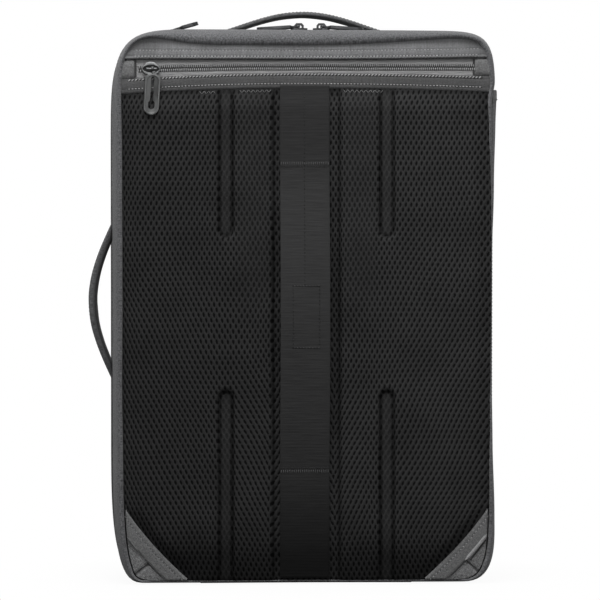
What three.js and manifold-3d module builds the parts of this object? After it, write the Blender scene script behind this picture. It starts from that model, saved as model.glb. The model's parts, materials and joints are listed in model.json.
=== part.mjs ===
// Convertible backpack, seen from the wearer's side along +Y: a hollow bag of gusset, front panel
// and padded mesh back, with a zipped stow pocket behind the mesh, three zips and two grab handles.
// Millimetres, +Z up. The origin is the middle of the flat base.
import * as THREE from 'three';
import { mergeVertices } from 'three/addons/utils/BufferGeometryUtils.js';
import Module from 'manifold-3d';

const wasm = await Module();
wasm.setup();

// Driving dimensions of the bag
const bagWidth = 305;
const bagHeight = 443;
const wall = 3;
const gap = 0.3;
const backSeamY = -54;
const gussetFrontY = 46;
const halfWidth = bagWidth / 2;

// Elliptical corners of the outline, each with its width and height
const corners = {
  bottomRight: { width: 22, height: 33 },
  topRight: { width: 26, height: 34 },
  topLeft: { width: 28, height: 58 },
  bottomLeft: { width: 20, height: 68 },
};
const cornerSteps = 8;

// How far the rolled rim comes in over the back at each stretch of the outline
const rim = {
  bottom: 3.1, right: 5.4, rightShoulder: 8.2, topRight: 7.2, top: 13, topLeft: 6.6, left: 9.4,
  proud: 7, lip: 1.2, taper: 3,
};

// Rim section from the gusset's side to the lip: inset as a share of the rim's width,
// depth as a share of how proud the rim stands behind the seam
const rimSection = [
  { inset: 0, depth: -1.7 },
  { inset: 0.08, depth: -0.35 },
  { inset: 0.3, depth: 0.55 },
  { inset: 0.62, depth: 0.97 },
  { inset: 0.9, depth: 0.86 },
  { inset: 1, depth: 0.4 },
];

const front = { edgeDepth: 14.5, crown: 4 };
// Rounded edge of the front panel: inset and depth as shares of the edge's depth
const frontEdge = [
  { inset: 0, depth: 0 },
  { inset: 0.06, depth: 0.35 },
  { inset: 0.25, depth: 0.68 },
  { inset: 0.58, depth: 0.92 },
  { inset: 1, depth: 1 },
];
const frontRows = [0.7, 0.35];

const stowPocketDepth = 16;
const innerWall = { thickness: 2, margin: 3.3 };

// The padded mesh back: thickness, edge thickness and its pressed channels
const pad = {
  thickness: 9, edge: 3, centreX: 2.5, sideSlope: 13, tuck: 4, tuckThickness: 1,
  channelWidth: 53, channelDepth: 4.5, channelWall: 3.5,
  slotCentre: 65, slotWidth: 11, slotDepth: 3.5, slotWall: 2, slotEndRound: 5,
  upperSlotDrop: 165, lowerSlotRise: 154,
};
// Rows up the pad: height as a share of the pad's own, pad as a share of its full thickness
const padRows = [
  { height: 0, loft: 0 },
  { height: 0.012, loft: 0.42 },
  { height: 0.035, loft: 0.74 },
  { height: 0.07, loft: 0.93 },
  { height: 0.12, loft: 1 },
  { height: 0.2, loft: 1 },
  { height: 0.3, loft: 1 },
  { height: 0.54, loft: 1 },
  { height: 0.8, loft: 1 },
  { height: 0.93, loft: 1 },
  { height: 0.965, loft: 0.86 },
  { height: 0.982, loft: 0.45 },
];

// Curved edges across the top of the back: their drops below the bag's top to the left, at the
// middle and to the right, and how far from the middle the outer two are taken
const edgeReach = 120;
const edges = {
  flapEdge: { left: 24.2, middle: 24, right: 22.6 },
  chain: { left: 31.6, middle: 29.8, right: 29.7 },
  bandTop: { left: 38.4, middle: 34.7, right: 36.2 },
  bandEdge: { left: 50.2, middle: 46.7, right: 48.6 },
};
const fabricStrip = 2.2;
const tape = { thickness: 1, overlap: 4 };
const coil = { width: 5, height: 1.3 };
const zipStop = { leftInnerX: -132, rightInnerX: 138, thickness: 2.4, gapToCoil: 0.6 };

// Bottom corner patches of the back: how far they reach up and along
const patch = { rise: 59, run: 58, bow: 3.2, thickness: 3.2, bandWidth: 15, bandThickness: 1.8 };

// Luggage strap: sewn flat from each end, by these lengths, and bowed out between
const strap = {
  width: 40, thickness: 1.8, centreX: 3.2, sewnDrop: 107, sewnRise: 90, bow: 10.4, steps: 12,
};

// Zips over the top: centre across the depth, and how low each end comes down the sides
const laptopZip = { centreY: -26, endDrop: 43 };
const mainZip = { centreY: 22, endDrop: 293 };
const zipSlot = 10;
const zipTape = { recess: 0.8, thickness: 1.2 };

const handle = {
  width: 24, thickness: 5, endThickness: 3, halfSpan: 62, tabLength: 18, centreY: -3, steps: 14,
};
const topHandle = { rise: 12.6, centreX: 1 };
const sideHandle = { rise: 13.6, centreShare: 0.51 };

const pocket = {
  centreY: -14, width: 54, bottomZ: 40, mouthDrop: 47, thickness: 1.8, bulge: 5.8, columns: 8,
};
// Bulge of the side pocket up its height, as a share of its bulge at the mouth
const pocketRows = [
  { height: 0, bulge: 0 },
  { height: 0.1, bulge: 0.05 },
  { height: 0.35, bulge: 0.14 },
  { height: 0.6, bulge: 0.3 },
  { height: 0.8, bulge: 0.58 },
  { height: 0.92, bulge: 0.84 },
  { height: 1, bulge: 1 },
];

// Sliders and pulls. The arched slider carries a flat pull with an eye; the stow slider a crossbar
const slider = {
  length: 13, width: 8.6, plate: 1.8, skirt: 1, archSpan: 7.2, archRise: 4.2, archBar: 1.3,
  archWidth: 2.2, pivotRise: 1.5,
};
const pull = {
  width: 10, length: 31, thickness: 1.6, eyeLength: 4.4, eyeWidth: 3.4, eyeBar: 0.8,
  slotWidth: 1.4, slotLength: 14, restTilt: 4.5,
};
const shortPull = { length: 20, slotLength: 5, restTilt: -17 };
const stowSlider = {
  length: 17, width: 10.4, plate: 2, skirt: 1, frameLength: 15, frameWidth: 9.6, frameHole: 6.6,
  frameHeight: 1.1, pinRadius: 0.9, pinRise: 2.6, earLength: 2.4, earWidth: 3.6, pinSpan: 8.6,
};
const stowPull = {
  width: 12, length: 36.5, thickness: 1.8, neckWidth: 2.6, neckLength: 5.4, knuckle: 2.1,
  pinClearance: 0.3, slotWidth: 1.3, keyhole: 2.1, keyholeRise: 6.5, restTilt: 5,
};
const sliderPlaces = {
  stowX: -120.4, laptopLeftX: -1.7, laptopRightX: 16.3, mainX: -102,
};

const topZ = bagHeight;
const upperSlotEnd = topZ - pad.upperSlotDrop;
const strapTop = topZ - strap.sewnDrop;
const sideHandleZ = bagHeight * sideHandle.centreShare;
const loop = (count, make) => Array.from({ length: count }, (_, i) => make(i));
const mix = (a, b, t) => a + (b - a) * t;
const smooth = (a, b, value) => {
  const t = Math.min(1, Math.max(0, (value - a) / (b - a)));
  return t * t * (3 - 2 * t);
};

// A closed solid through rings of equally many points. Ends are capped unless the rings close up
function loft(rings, closed = false) {
  const around = rings[0].length;
  const positions = rings.flat().flatMap((p) => [p.x, p.y, p.z]);
  const faces = [];
  const last = closed ? rings.length : rings.length - 1;
  for (let i = 0; i < last; i++) {
    for (let j = 0; j < around; j++) {
      const a = i * around + j;
      const b = i * around + ((j + 1) % around);
      const c = ((i + 1) % rings.length) * around + j;
      const d = ((i + 1) % rings.length) * around + ((j + 1) % around);
      faces.push(a, c, b, b, c, d);
    }
  }
  if (!closed) {
    const cap = (ring, base, flip) => {
      const u = new THREE.Vector3().subVectors(ring[1], ring[0]).normalize();
      const n = new THREE.Vector3();
      ring.forEach((p, j) => {
        const q = ring[(j + 1) % around];
        n.x += (p.y - q.y) * (p.z + q.z);
        n.y += (p.z - q.z) * (p.x + q.x);
        n.z += (p.x - q.x) * (p.y + q.y);
      });
      n.normalize();
      const v = new THREE.Vector3().crossVectors(n, u);
      const flat = ring.map((p) => new THREE.Vector2(p.dot(u), p.dot(v)));
      THREE.ShapeUtils.triangulateShape(flat, []).forEach(([a, b, c]) => {
        faces.push(...(flip ? [base + a, base + b, base + c] : [base + a, base + c, base + b]));
      });
    };
    cap(rings[0], 0, true);
    cap(rings[rings.length - 1], (rings.length - 1) * around, false);
  }
  const geometry = new THREE.BufferGeometry();
  geometry.setAttribute('position', new THREE.Float32BufferAttribute(positions, 3));
  geometry.setIndex(faces);
  return facingOut(geometry);
}

// Turns a closed mesh's faces outwards if its volume comes out negative
function facingOut(geometry) {
  const merged = merge(geometry);
  const p = merged.attributes.position;
  const [a, b, c] = [new THREE.Vector3(), new THREE.Vector3(), new THREE.Vector3()];
  const index = merged.index.array;
  let volume = 0;
  for (let i = 0; i < index.length; i += 3) {
    a.fromBufferAttribute(p, index[i]);
    b.fromBufferAttribute(p, index[i + 1]);
    c.fromBufferAttribute(p, index[i + 2]);
    volume += a.dot(b.cross(c));
  }
  if (volume < 0) {
    for (let i = 0; i < index.length; i += 3) {
      [index[i + 1], index[i + 2]] = [index[i + 2], index[i + 1]];
    }
  }
  return merged;
}

function merge(geometry) {
  const bare = geometry.clone();
  bare.deleteAttribute('normal');
  bare.deleteAttribute('uv');
  return mergeVertices(bare, 1e-4);
}

function toSolid(geometry) {
  const bare = merge(geometry);
  return new wasm.Manifold(new wasm.Mesh({
    numProp: 3,
    vertProperties: bare.attributes.position.array,
    triVerts: new Uint32Array(bare.index.array),
  }));
}

function toGeometry(solid) {
  const mesh = solid.getMesh();
  const geometry = new THREE.BufferGeometry();
  geometry.setAttribute('position', new THREE.BufferAttribute(mesh.vertProperties, 3));
  geometry.setIndex(new THREE.BufferAttribute(mesh.triVerts, 1));
  return geometry;
}

// Outline of the bag, anticlockwise seen along +Y, each station with its outward normal and rim width
function cornerStations(corner, signX, signZ, startAngle, rimStart, rimEnd) {
  const centreX = signX * (halfWidth - corner.width);
  const centreZ = signZ > 0 ? topZ - corner.height : corner.height;
  return loop(cornerSteps + 1, (i) => {
    const angle = startAngle + (i / cornerSteps) * (Math.PI / 2);
    const normal = new THREE.Vector2(
      Math.cos(angle) / corner.width, Math.sin(angle) / corner.height,
    ).normalize();
    return {
      x: centreX + corner.width * Math.cos(angle),
      z: centreZ + corner.height * Math.sin(angle),
      nx: normal.x,
      nz: normal.y,
      rim: mix(rimStart, rimEnd, i / cornerSteps),
    };
  });
}

function straightStations(from, to, count, middleRim) {
  return loop(count, (i) => {
    const t = (i + 1) / (count + 1);
    const rise = middleRim === undefined ? 0 : Math.sin(Math.PI * t);
    const width = mix(from.rim, to.rim, t);
    return {
      x: mix(from.x, to.x, t), z: mix(from.z, to.z, t), nx: to.nx, nz: to.nz,
      rim: mix(width, middleRim ?? width, rise),
    };
  });
}

const bottomRight = cornerStations(
  corners.bottomRight, 1, -1, -Math.PI / 2, rim.bottom, rim.right,
);
const topRight = cornerStations(corners.topRight, 1, 1, 0, rim.rightShoulder, rim.topRight);
const topLeft = cornerStations(corners.topLeft, -1, 1, Math.PI / 2, rim.topLeft, rim.left);
const bottomLeft = cornerStations(
  corners.bottomLeft, -1, -1, Math.PI, rim.left, rim.bottom,
);
const outline = [
  ...bottomRight,
  ...straightStations(bottomRight[cornerSteps], topRight[0], 4),
  ...topRight,
  ...straightStations(topRight[cornerSteps], topLeft[0], 9, rim.top),
  ...topLeft,
  ...straightStations(topLeft[cornerSteps], bottomLeft[0], 4),
  ...bottomLeft,
  ...straightStations(bottomLeft[cornerSteps], bottomRight[0], 4),
];

const insetPoint = (s, inset, y) => new THREE.Vector3(s.x - s.nx * inset, y, s.z - s.nz * inset);
// Inner edge of the rolled rim, kept clear of it, as points of x and z
const rimInner = outline.map((s) => insetPoint(s, s.rim + gap, 0));

// Where the inner edge of the rim crosses a height, on the left (-1) or the right (1)
function rimSideX(side, z) {
  let found = 0;
  rimInner.forEach((p, i) => {
    const q = rimInner[(i + 1) % rimInner.length];
    const crosses = Math.min(p.z, q.z) <= z && z <= Math.max(p.z, q.z) && p.z !== q.z;
    if (crosses) {
      const x = mix(p.x, q.x, (z - p.z) / (q.z - p.z));
      if (x * side > 0 && Math.abs(x) > Math.abs(found)) {
        found = x;
      }
    }
  });
  return found;
}

// Height of the rim's inner edge above a place across the back
function rimTopZ(x) {
  let found = 0;
  rimInner.forEach((p, i) => {
    const q = rimInner[(i + 1) % rimInner.length];
    if (Math.min(p.x, q.x) <= x && x <= Math.max(p.x, q.x) && p.x !== q.x) {
      found = Math.max(found, mix(p.z, q.z, (x - p.x) / (q.x - p.x)));
    }
  });
  return found;
}

// Height of a curved edge across the back, a parabola on each side of the middle
const edgeSpan = halfWidth - (rim.left + rim.right) / 2;
function edgeZ(edge, x) {
  const u = (x - pad.centreX) / edgeReach;
  return topZ - edge.middle - ((u < 0 ? edge.left : edge.right) - edge.middle) * u * u;
}

// Gusset: the bag's sides, top and base in one ring with the rolled rim, slotted for the two zips
function gussetRing() {
  const ring = (s) => {
    const outer = rimSection.map((row) => insetPoint(
      s, row.inset * s.rim, backSeamY - row.depth * rim.proud,
    ));
    return [
      insetPoint(s, 0, gussetFrontY),
      ...outer,
      insetPoint(s, s.rim, backSeamY),
      insetPoint(s, mix(wall, s.rim, 0.55), backSeamY + rim.lip),
      insetPoint(s, wall, backSeamY + rim.taper),
      insetPoint(s, wall, backSeamY + rim.proud * 1.7),
      insetPoint(s, wall, gussetFrontY),
    ];
  };
  return loft(outline.map(ring), true);
}

// Stations over the top of the bag between two equal heights on its sides
function overTop(endZ) {
  const sideStation = (side) => ({ x: side * halfWidth, z: endZ, nx: side, nz: 0 });
  const first = outline.indexOf(topRight[0]);
  const last = outline.indexOf(topLeft[cornerSteps]);
  const top = outline.slice(first, last + 1).filter((s) => s.z > endZ + 1);
  const onArc = (stations, side) => {
    const next = stations.find((s) => s.z > endZ + 1);
    const before = stations[stations.indexOf(next) - 1];
    if (!before) {
      return sideStation(side);
    }
    const t = (endZ - before.z) / (next.z - before.z);
    const normal = new THREE.Vector2(
      mix(before.nx, next.nx, t), mix(before.nz, next.nz, t),
    ).normalize();
    return { x: mix(before.x, next.x, t), z: endZ, nx: normal.x, nz: normal.y };
  };
  return [onArc(topRight, 1), ...top, onArc([...topLeft].reverse(), -1)];
}

// A strip that follows stations, between two depths of inset and two places across the bag's depth
function stripOver(stations, insets, ys) {
  return loft(stations.map((s) => [
    insetPoint(s, insets[0], ys[0]), insetPoint(s, insets[0], ys[1]),
    insetPoint(s, insets[1], ys[1]), insetPoint(s, insets[1], ys[0]),
  ]));
}

function shortened(stations, by) {
  const trimmed = stations.map((s) => ({ ...s }));
  trimmed[0].z += by;
  trimmed[trimmed.length - 1].z += by;
  return trimmed;
}

function gusset() {
  const slotAt = (zip) => toSolid(stripOver(
    overTop(topZ - zip.endDrop), [-2, wall + 2], [zip.centreY - zipSlot / 2, zip.centreY + zipSlot / 2],
  ));
  return toGeometry(
    toSolid(gussetRing()).subtract(slotAt(laptopZip)).subtract(slotAt(mainZip)),
  );
}

const zipTapeGeometry = (zip) => stripOver(
  shortened(overTop(topZ - zip.endDrop), gap),
  [zipTape.recess, zipTape.recess + zipTape.thickness],
  [zip.centreY - zipSlot / 2 + gap, zip.centreY + zipSlot / 2 - gap],
);
const coilInset = zipTape.recess - gap;
const zipCoilGeometry = (zip) => stripOver(
  shortened(overTop(topZ - zip.endDrop), gap + 2),
  [coilInset - coil.height, coilInset],
  [zip.centreY - coil.width / 2, zip.centreY + coil.width / 2],
);

// Outline scaled in towards the middle of the bag, for what fills it
function scaledRing(inset, y) {
  const middleZ = bagHeight / 2;
  return outline.map((s) => new THREE.Vector3(
    s.x * (1 - inset / halfWidth), y, middleZ + (s.z - middleZ) * (1 - inset / middleZ),
  ));
}

// Front panel: a shallow hollow tray with a rounded edge and a crowned face
function frontPanel() {
  const startY = gussetFrontY + gap;
  const edge = frontEdge.map((row) => scaledRing(
    row.inset * front.edgeDepth, startY + row.depth * front.edgeDepth,
  ));
  const innerEdge = frontEdge.map((row) => scaledRing(
    wall + row.inset * (front.edgeDepth - 1),
    startY + row.depth * (front.edgeDepth - wall),
  ));
  const face = (share, y) => scaledRing(halfWidth, y).map((middle, i) => {
    const rimPoint = edge[edge.length - 1][i];
    return new THREE.Vector3(
      rimPoint.x * share, y, mix(bagHeight / 2, rimPoint.z, share),
    );
  });
  const crownY = (share) => startY + front.edgeDepth + front.crown * (1 - share * share);
  const middle = 0.02;
  const shares = [...frontRows, middle];
  return loft([
    ...shares.map((k) => face(k, crownY(k) - wall)).reverse(),
    ...innerEdge.reverse(),
    ...edge,
    ...shares.map((k) => face(k, crownY(k))),
  ]);
}

// Wall between the stow pocket and the bag's inside
function pocketInnerWall() {
  const y = backSeamY + stowPocketDepth;
  return loft([
    scaledRing(innerWall.margin, y), scaledRing(innerWall.margin, y + innerWall.thickness),
  ]);
}

// Slanted edge of a bottom corner patch at a height, as a place across the back
function patchEdgeX(side, z) {
  const t = Math.min(1, Math.max(0, (z - rim.bottom) / (patch.rise - rim.bottom)));
  const top = rimSideX(side, patch.rise);
  const base = pad.centreX + side * (edgeSpan - patch.run + 10);
  return mix(base, top, t) + side * patch.bow * 4 * t * (1 - t);
}

// How proud the padded back stands at a place, before its rows' own share
function padHeight(x, z, edgeX) {
  const across = Math.abs(x - pad.centreX);
  const fromEdge = Math.abs(edgeX - x);
  const slope = smooth(0, pad.sideSlope, fromEdge);
  const channel = 1 - smooth(
    pad.channelWidth / 2 - pad.channelWall, pad.channelWidth / 2, across,
  );
  const inSlot = 1 - smooth(
    pad.slotWidth / 2 - pad.slotWall, pad.slotWidth / 2, Math.abs(across - pad.slotCentre),
  );
  const slotRun = z > (upperSlotEnd + pad.lowerSlotRise) / 2
    ? smooth(upperSlotEnd - pad.slotEndRound / 2, upperSlotEnd, z)
    : 1 - smooth(pad.lowerSlotRise, pad.lowerSlotRise + pad.slotEndRound / 2, z);
  return mix(pad.edge, pad.thickness, slope)
    - pad.channelDepth * channel - pad.slotDepth * inSlot * slotRun;
}

// Columns of the padded back, from its left edge to its right one
function padColumns(leftX, rightX) {
  const { centreX, channelWidth, channelWall, slotCentre, slotWidth, slotWall } = pad;
  const half = [
    channelWidth / 2 - channelWall,
    channelWidth / 2,
    slotCentre - slotWidth / 2,
    slotCentre - slotWidth / 2 + slotWall,
    slotCentre + slotWidth / 2 - slotWall,
    slotCentre + slotWidth / 2,
  ];
  const outerShares = [0.5, 0.82, 0.93, 1];
  const outer = (edge, side) => outerShares.map((share) => (
    mix(centreX + side * half[half.length - 1], edge, share)
  ));
  return [
    ...outer(leftX, -1).reverse(),
    ...half.map((x) => centreX - x).reverse(),
    centreX,
    ...half.map((x) => centreX + x),
    ...outer(rightX, 1),
  ];
}

function paddedBack() {
  const baseZ = rim.bottom + gap;
  const height = (x) => edgeZ(edges.bandEdge, x) + pad.tuck - baseZ;
  const slotRow = (z) => ({ height: (z - baseZ) / height(pad.centreX), loft: 1 });
  const rows = [
    ...padRows,
    slotRow(upperSlotEnd), slotRow(upperSlotEnd - pad.slotEndRound / 2),
    slotRow(pad.lowerSlotRise), slotRow(pad.lowerSlotRise + pad.slotEndRound / 2),
    { height: 1 - (pad.tuck + 0.5) / height(pad.centreX), loft: -1 },
    { height: 1, loft: -1 },
  ].sort((a, b) => a.height - b.height);
  const sideX = (side, share) => {
    const z = baseZ + share * height(side * edgeSpan);
    const atRim = rimSideX(side, z);
    const atPatch = patchEdgeX(side, z) - side * gap;
    return z < patch.rise && Math.abs(atPatch) < Math.abs(atRim) ? atPatch : atRim;
  };
  const grid = rows.map((row) => {
    const [leftX, rightX] = [sideX(-1, row.height), sideX(1, row.height)];
    return padColumns(leftX, rightX).map((x) => {
      const z = baseZ + row.height * height(x);
      const full = padHeight(x, z, x < pad.centreX ? leftX : rightX);
      const proud = row.loft < 0
        ? pad.tuckThickness
        : mix(Math.min(full, pad.edge), full, row.loft);
      return new THREE.Vector3(x, backSeamY - proud, z);
    });
  });
  return slabUnder(grid, () => backSeamY);
}

// A closed slab between a grid of points and its own edge laid flat at a depth
function slabUnder(grid, flatY) {
  const rows = grid.length;
  const columns = grid[0].length;
  const points = grid.flat();
  const faces = [];
  for (let i = 0; i < rows - 1; i++) {
    for (let j = 0; j < columns - 1; j++) {
      const a = i * columns + j;
      faces.push(a, a + 1, a + columns, a + 1, a + columns + 1, a + columns);
    }
  }
  const border = [
    ...loop(columns - 1, (j) => j),
    ...loop(rows - 1, (i) => i * columns + columns - 1),
    ...loop(columns - 1, (j) => rows * columns - 1 - j),
    ...loop(rows - 1, (i) => (rows - 1 - i) * columns),
  ];
  const base = points.length;
  border.forEach((index) => {
    const p = points[index];
    points.push(new THREE.Vector3(p.x, flatY(p), p.z));
  });
  border.forEach((index, k) => {
    const next = (k + 1) % border.length;
    faces.push(index, base + k, border[next], border[next], base + k, base + next);
  });
  const flat = border.map((index) => new THREE.Vector2(grid.flat()[index].x, grid.flat()[index].z));
  THREE.ShapeUtils.triangulateShape(flat, []).forEach(([a, b, c]) => {
    faces.push(base + a, base + c, base + b);
  });
  const geometry = new THREE.BufferGeometry();
  geometry.setAttribute(
    'position', new THREE.Float32BufferAttribute(points.flatMap((p) => [p.x, p.y, p.z]), 3),
  );
  geometry.setIndex(faces);
  return facingOut(geometry);
}

// A flat-backed strip across the back between two curved edges, at a depth from the seam plane
function stripAcross(xs, lowZ, highZ, proudFrom, proudTo) {
  return loft(xs.map((x) => [
    new THREE.Vector3(x, backSeamY - proudFrom, lowZ(x)),
    new THREE.Vector3(x, backSeamY - proudTo, lowZ(x)),
    new THREE.Vector3(x, backSeamY - proudTo, highZ(x)),
    new THREE.Vector3(x, backSeamY - proudFrom, highZ(x)),
  ]));
}

const spread = (from, to, count) => loop(count + 1, (i) => mix(from, to, i / count));
const stripBase = tape.thickness + gap;

// Cloth between the rolled rim and the stow zip, rounded into the top corners
function stowFlap() {
  const low = (x) => edgeZ(edges.flapEdge, x);
  const start = (side) => {
    const end = rimSideX(side, low(side * edgeSpan) + 3);
    return end - side * 1.5;
  };
  const [left, right] = [start(-1), start(1)];
  const inner = spread(0.04, 0.96, 12).map((t) => mix(left, right, t));
  const nearEnds = [0.012, 0.025].map((t) => mix(left, right, t));
  const nearRight = [0.975, 0.988].map((t) => mix(left, right, t));
  const xs = [left, ...nearEnds, ...inner, ...nearRight, right];
  return stripAcross(
    xs, low, (x) => rimTopZ(x) - gap, stripBase, stripBase + fabricStrip,
  );
}

const bandXs = spread(0, 1, 12);
const acrossAt = (edge, t, margin) => {
  const left = rimSideX(-1, topZ - edge.left) + margin;
  const right = rimSideX(1, topZ - edge.right) - margin;
  return mix(left, right, t);
};

function stowLowerBand() {
  return stripAcross(
    bandXs.map((t) => acrossAt(edges.bandTop, t, 0.4)),
    (x) => edgeZ(edges.bandEdge, x), (x) => edgeZ(edges.bandTop, x),
    stripBase, stripBase + fabricStrip,
  );
}

function stowZipTape() {
  return stripAcross(
    bandXs.map((t) => acrossAt(edges.flapEdge, t, 8)),
    (x) => edgeZ(edges.bandTop, x) - tape.overlap, (x) => edgeZ(edges.flapEdge, x) + tape.overlap,
    0, tape.thickness,
  );
}

const stopInnerX = (side) => (side < 0 ? zipStop.leftInnerX : zipStop.rightInnerX);

function stowZipCoil() {
  const from = stopInnerX(-1) + zipStop.gapToCoil;
  const to = stopInnerX(1) - zipStop.gapToCoil;
  return stripAcross(
    spread(from, to, 12),
    (x) => edgeZ(edges.chain, x) - coil.width / 2, (x) => edgeZ(edges.chain, x) + coil.width / 2,
    stripBase, stripBase + coil.height,
  );
}

// Cloth tab over each end of the stow zip, between its two strips and up to the rim
function zipStopTab(side) {
  const innerX = stopInnerX(side);
  const ends = [innerX, rimSideX(side, topZ - edges.chain.left)];
  const low = Math.max(...ends.map((x) => edgeZ(edges.bandTop, x))) + gap;
  const high = Math.min(...ends.map((x) => edgeZ(edges.flapEdge, x))) - gap;
  const along = spread(low, high, 3).map((z) => ({ x: rimSideX(side, z) - side * gap, z }));
  return prism(
    [{ x: innerX, z: high }, { x: innerX, z: low }, ...along],
    stripBase, stripBase + zipStop.thickness,
  );
}

// Bottom corner patch: the corner between the rim and the slanted edge of the padded back
function patchOutline(side) {
  const heights = spread(rim.bottom + gap, patch.rise - 3, 5);
  const slanted = heights.map((z) => ({ x: patchEdgeX(side, z) + side * gap, z }));
  const alongRim = rimInner
    .filter((p) => p.x * side > 0 && p.z < patch.rise - 4)
    .filter((p) => Math.abs(p.x) > Math.abs(slanted[0].x) + 1)
    .sort((a, b) => b.z - a.z);
  const topX = rimSideX(side, patch.rise - 3);
  return [...slanted, { x: topX, z: patch.rise - 3 }, ...alongRim];
}

function prism(points, proudFrom, proudTo) {
  return loft([proudFrom, proudTo].map((proud) => (
    points.map((p) => new THREE.Vector3(p.x, backSeamY - proud, p.z))
  )));
}

const cornerPatch = (side) => prism(patchOutline(side), 0, patch.thickness);

// Folded band sewn along the slanted edge of a corner patch
function cornerBand(side) {
  const points = patchOutline(side);
  const base = patch.thickness + gap;
  const whole = toSolid(prism(points, base, base + patch.bandThickness));
  const [low, high] = [points[0], points[5]];
  const along = new THREE.Vector2(high.x - low.x, high.z - low.z);
  const across = new THREE.Vector2(along.y, -along.x).normalize()
    .multiplyScalar(side * patch.bandWidth);
  const reach = along.clone().multiplyScalar(0.5);
  const strip = [
    { x: low.x - reach.x, z: low.z - reach.y },
    { x: high.x + reach.x, z: high.z + reach.y },
    { x: high.x + reach.x + across.x, z: high.z + reach.y + across.y },
    { x: low.x - reach.x + across.x, z: low.z - reach.y + across.y },
  ];
  const outward = strip.map((p, i) => (i < 2 ? { x: p.x - across.x, z: p.z - across.y } : p));
  const cutter = toSolid(prism(outward, 0, base + patch.bandThickness + 1));
  return toGeometry(whole.intersect(cutter));
}

// Luggage strap: one web, sewn down in the channel at both ends and bowed out between
function luggageStrap() {
  const floor = pad.thickness - pad.channelDepth + gap;
  const topEnd = topZ - edges.bandEdge.middle - gap;
  const bottomEnd = rim.bottom + gap + 1;
  const underside = (z) => {
    const t = (z - strap.sewnRise) / (strapTop - strap.sewnRise);
    return floor + (t > 0 && t < 1 ? strap.bow * Math.sin(Math.PI * t) ** 1.5 : 0);
  };
  const zs = [
    bottomEnd, ...spread(strap.sewnRise, strapTop, strap.steps), topEnd,
  ];
  return loft(zs.map((z) => {
    const inner = backSeamY - underside(z);
    const [left, right] = [strap.centreX - strap.width / 2, strap.centreX + strap.width / 2];
    return [
      new THREE.Vector3(left, inner, z), new THREE.Vector3(right, inner, z),
      new THREE.Vector3(right, inner - strap.thickness, z),
      new THREE.Vector3(left, inner - strap.thickness, z),
    ];
  }));
}

// Grab handle standing on a face: along the face, and away from it
function grabHandle(rise, place) {
  const half = handle.halfSpan + handle.tabLength;
  const bend = 8;
  const positions = [
    -half, -handle.halfSpan - bend,
    ...spread(-handle.halfSpan, handle.halfSpan, handle.steps),
    handle.halfSpan + bend, half,
  ];
  return loft(positions.map((s) => {
    const t = Math.abs(s) / handle.halfSpan;
    const lift = t < 1 ? Math.cos((t * Math.PI) / 2) ** 1.25 : 0;
    const under = gap + rise * lift;
    const thick = mix(handle.endThickness, handle.thickness, Math.min(1, lift * 3));
    const halfWide = handle.width / 2;
    const bevel = thick * 0.35;
    const section = [
      [-halfWide + bevel, under], [halfWide - bevel, under],
      [halfWide, under + bevel], [halfWide, under + thick - bevel],
      [halfWide - bevel, under + thick], [-halfWide + bevel, under + thick],
      [-halfWide, under + thick - bevel], [-halfWide, under + bevel],
    ];
    return section.map(([across, away]) => place(s, across, away));
  }));
}

const topHandleGeometry = () => grabHandle(topHandle.rise, (s, across, away) => (
  new THREE.Vector3(topHandle.centreX + s, handle.centreY + across, topZ + away)
));
const sideHandleGeometry = () => grabHandle(sideHandle.rise, (s, across, away) => (
  new THREE.Vector3(-halfWidth - away, handle.centreY + across, sideHandleZ + s)
));

// Side pocket: a sheet sewn flat at its sides and foot, standing open at its mouth
function sidePocket() {
  const rows = pocketRows.map((row) => spread(-1, 1, pocket.columns).map((u) => {
    const bulge = pocket.bulge * row.bulge * Math.cos((u * Math.PI) / 2) ** 0.8;
    return new THREE.Vector3(
      halfWidth + gap + Math.max(0, bulge),
      pocket.centreY + (u * pocket.width) / 2,
      mix(pocket.bottomZ, topZ - pocket.mouthDrop, row.height),
    );
  }));
  return loft(rows.map((row) => [
    ...row,
    ...row.map((p) => new THREE.Vector3(p.x + pocket.thickness, p.y, p.z)).reverse(),
  ]));
}

// Rounded bar outline in a plane, from one end to the other
function barShape(x0, x1, halfWide, round) {
  const shape = new THREE.Shape();
  shape.moveTo(x0 + round, -halfWide);
  shape.lineTo(x1 - halfWide, -halfWide);
  shape.absarc(x1 - halfWide, 0, halfWide, -Math.PI / 2, Math.PI / 2, false);
  shape.lineTo(x0 + round, halfWide);
  shape.lineTo(x0, halfWide - round);
  shape.lineTo(x0, -halfWide + round);
  shape.closePath();
  return shape;
}

function slotHole(x0, x1, halfWide) {
  const hole = new THREE.Path();
  hole.moveTo(x0, -halfWide);
  hole.lineTo(x0, halfWide);
  hole.lineTo(x1, halfWide);
  hole.lineTo(x1, -halfWide);
  hole.closePath();
  return hole;
}

const plateFrom = (shape, thickness, curveSegments = 6) => new THREE.ExtrudeGeometry(
  shape, { depth: thickness, bevelEnabled: false, curveSegments, steps: 1 },
).translate(0, 0, -thickness / 2);

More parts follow.
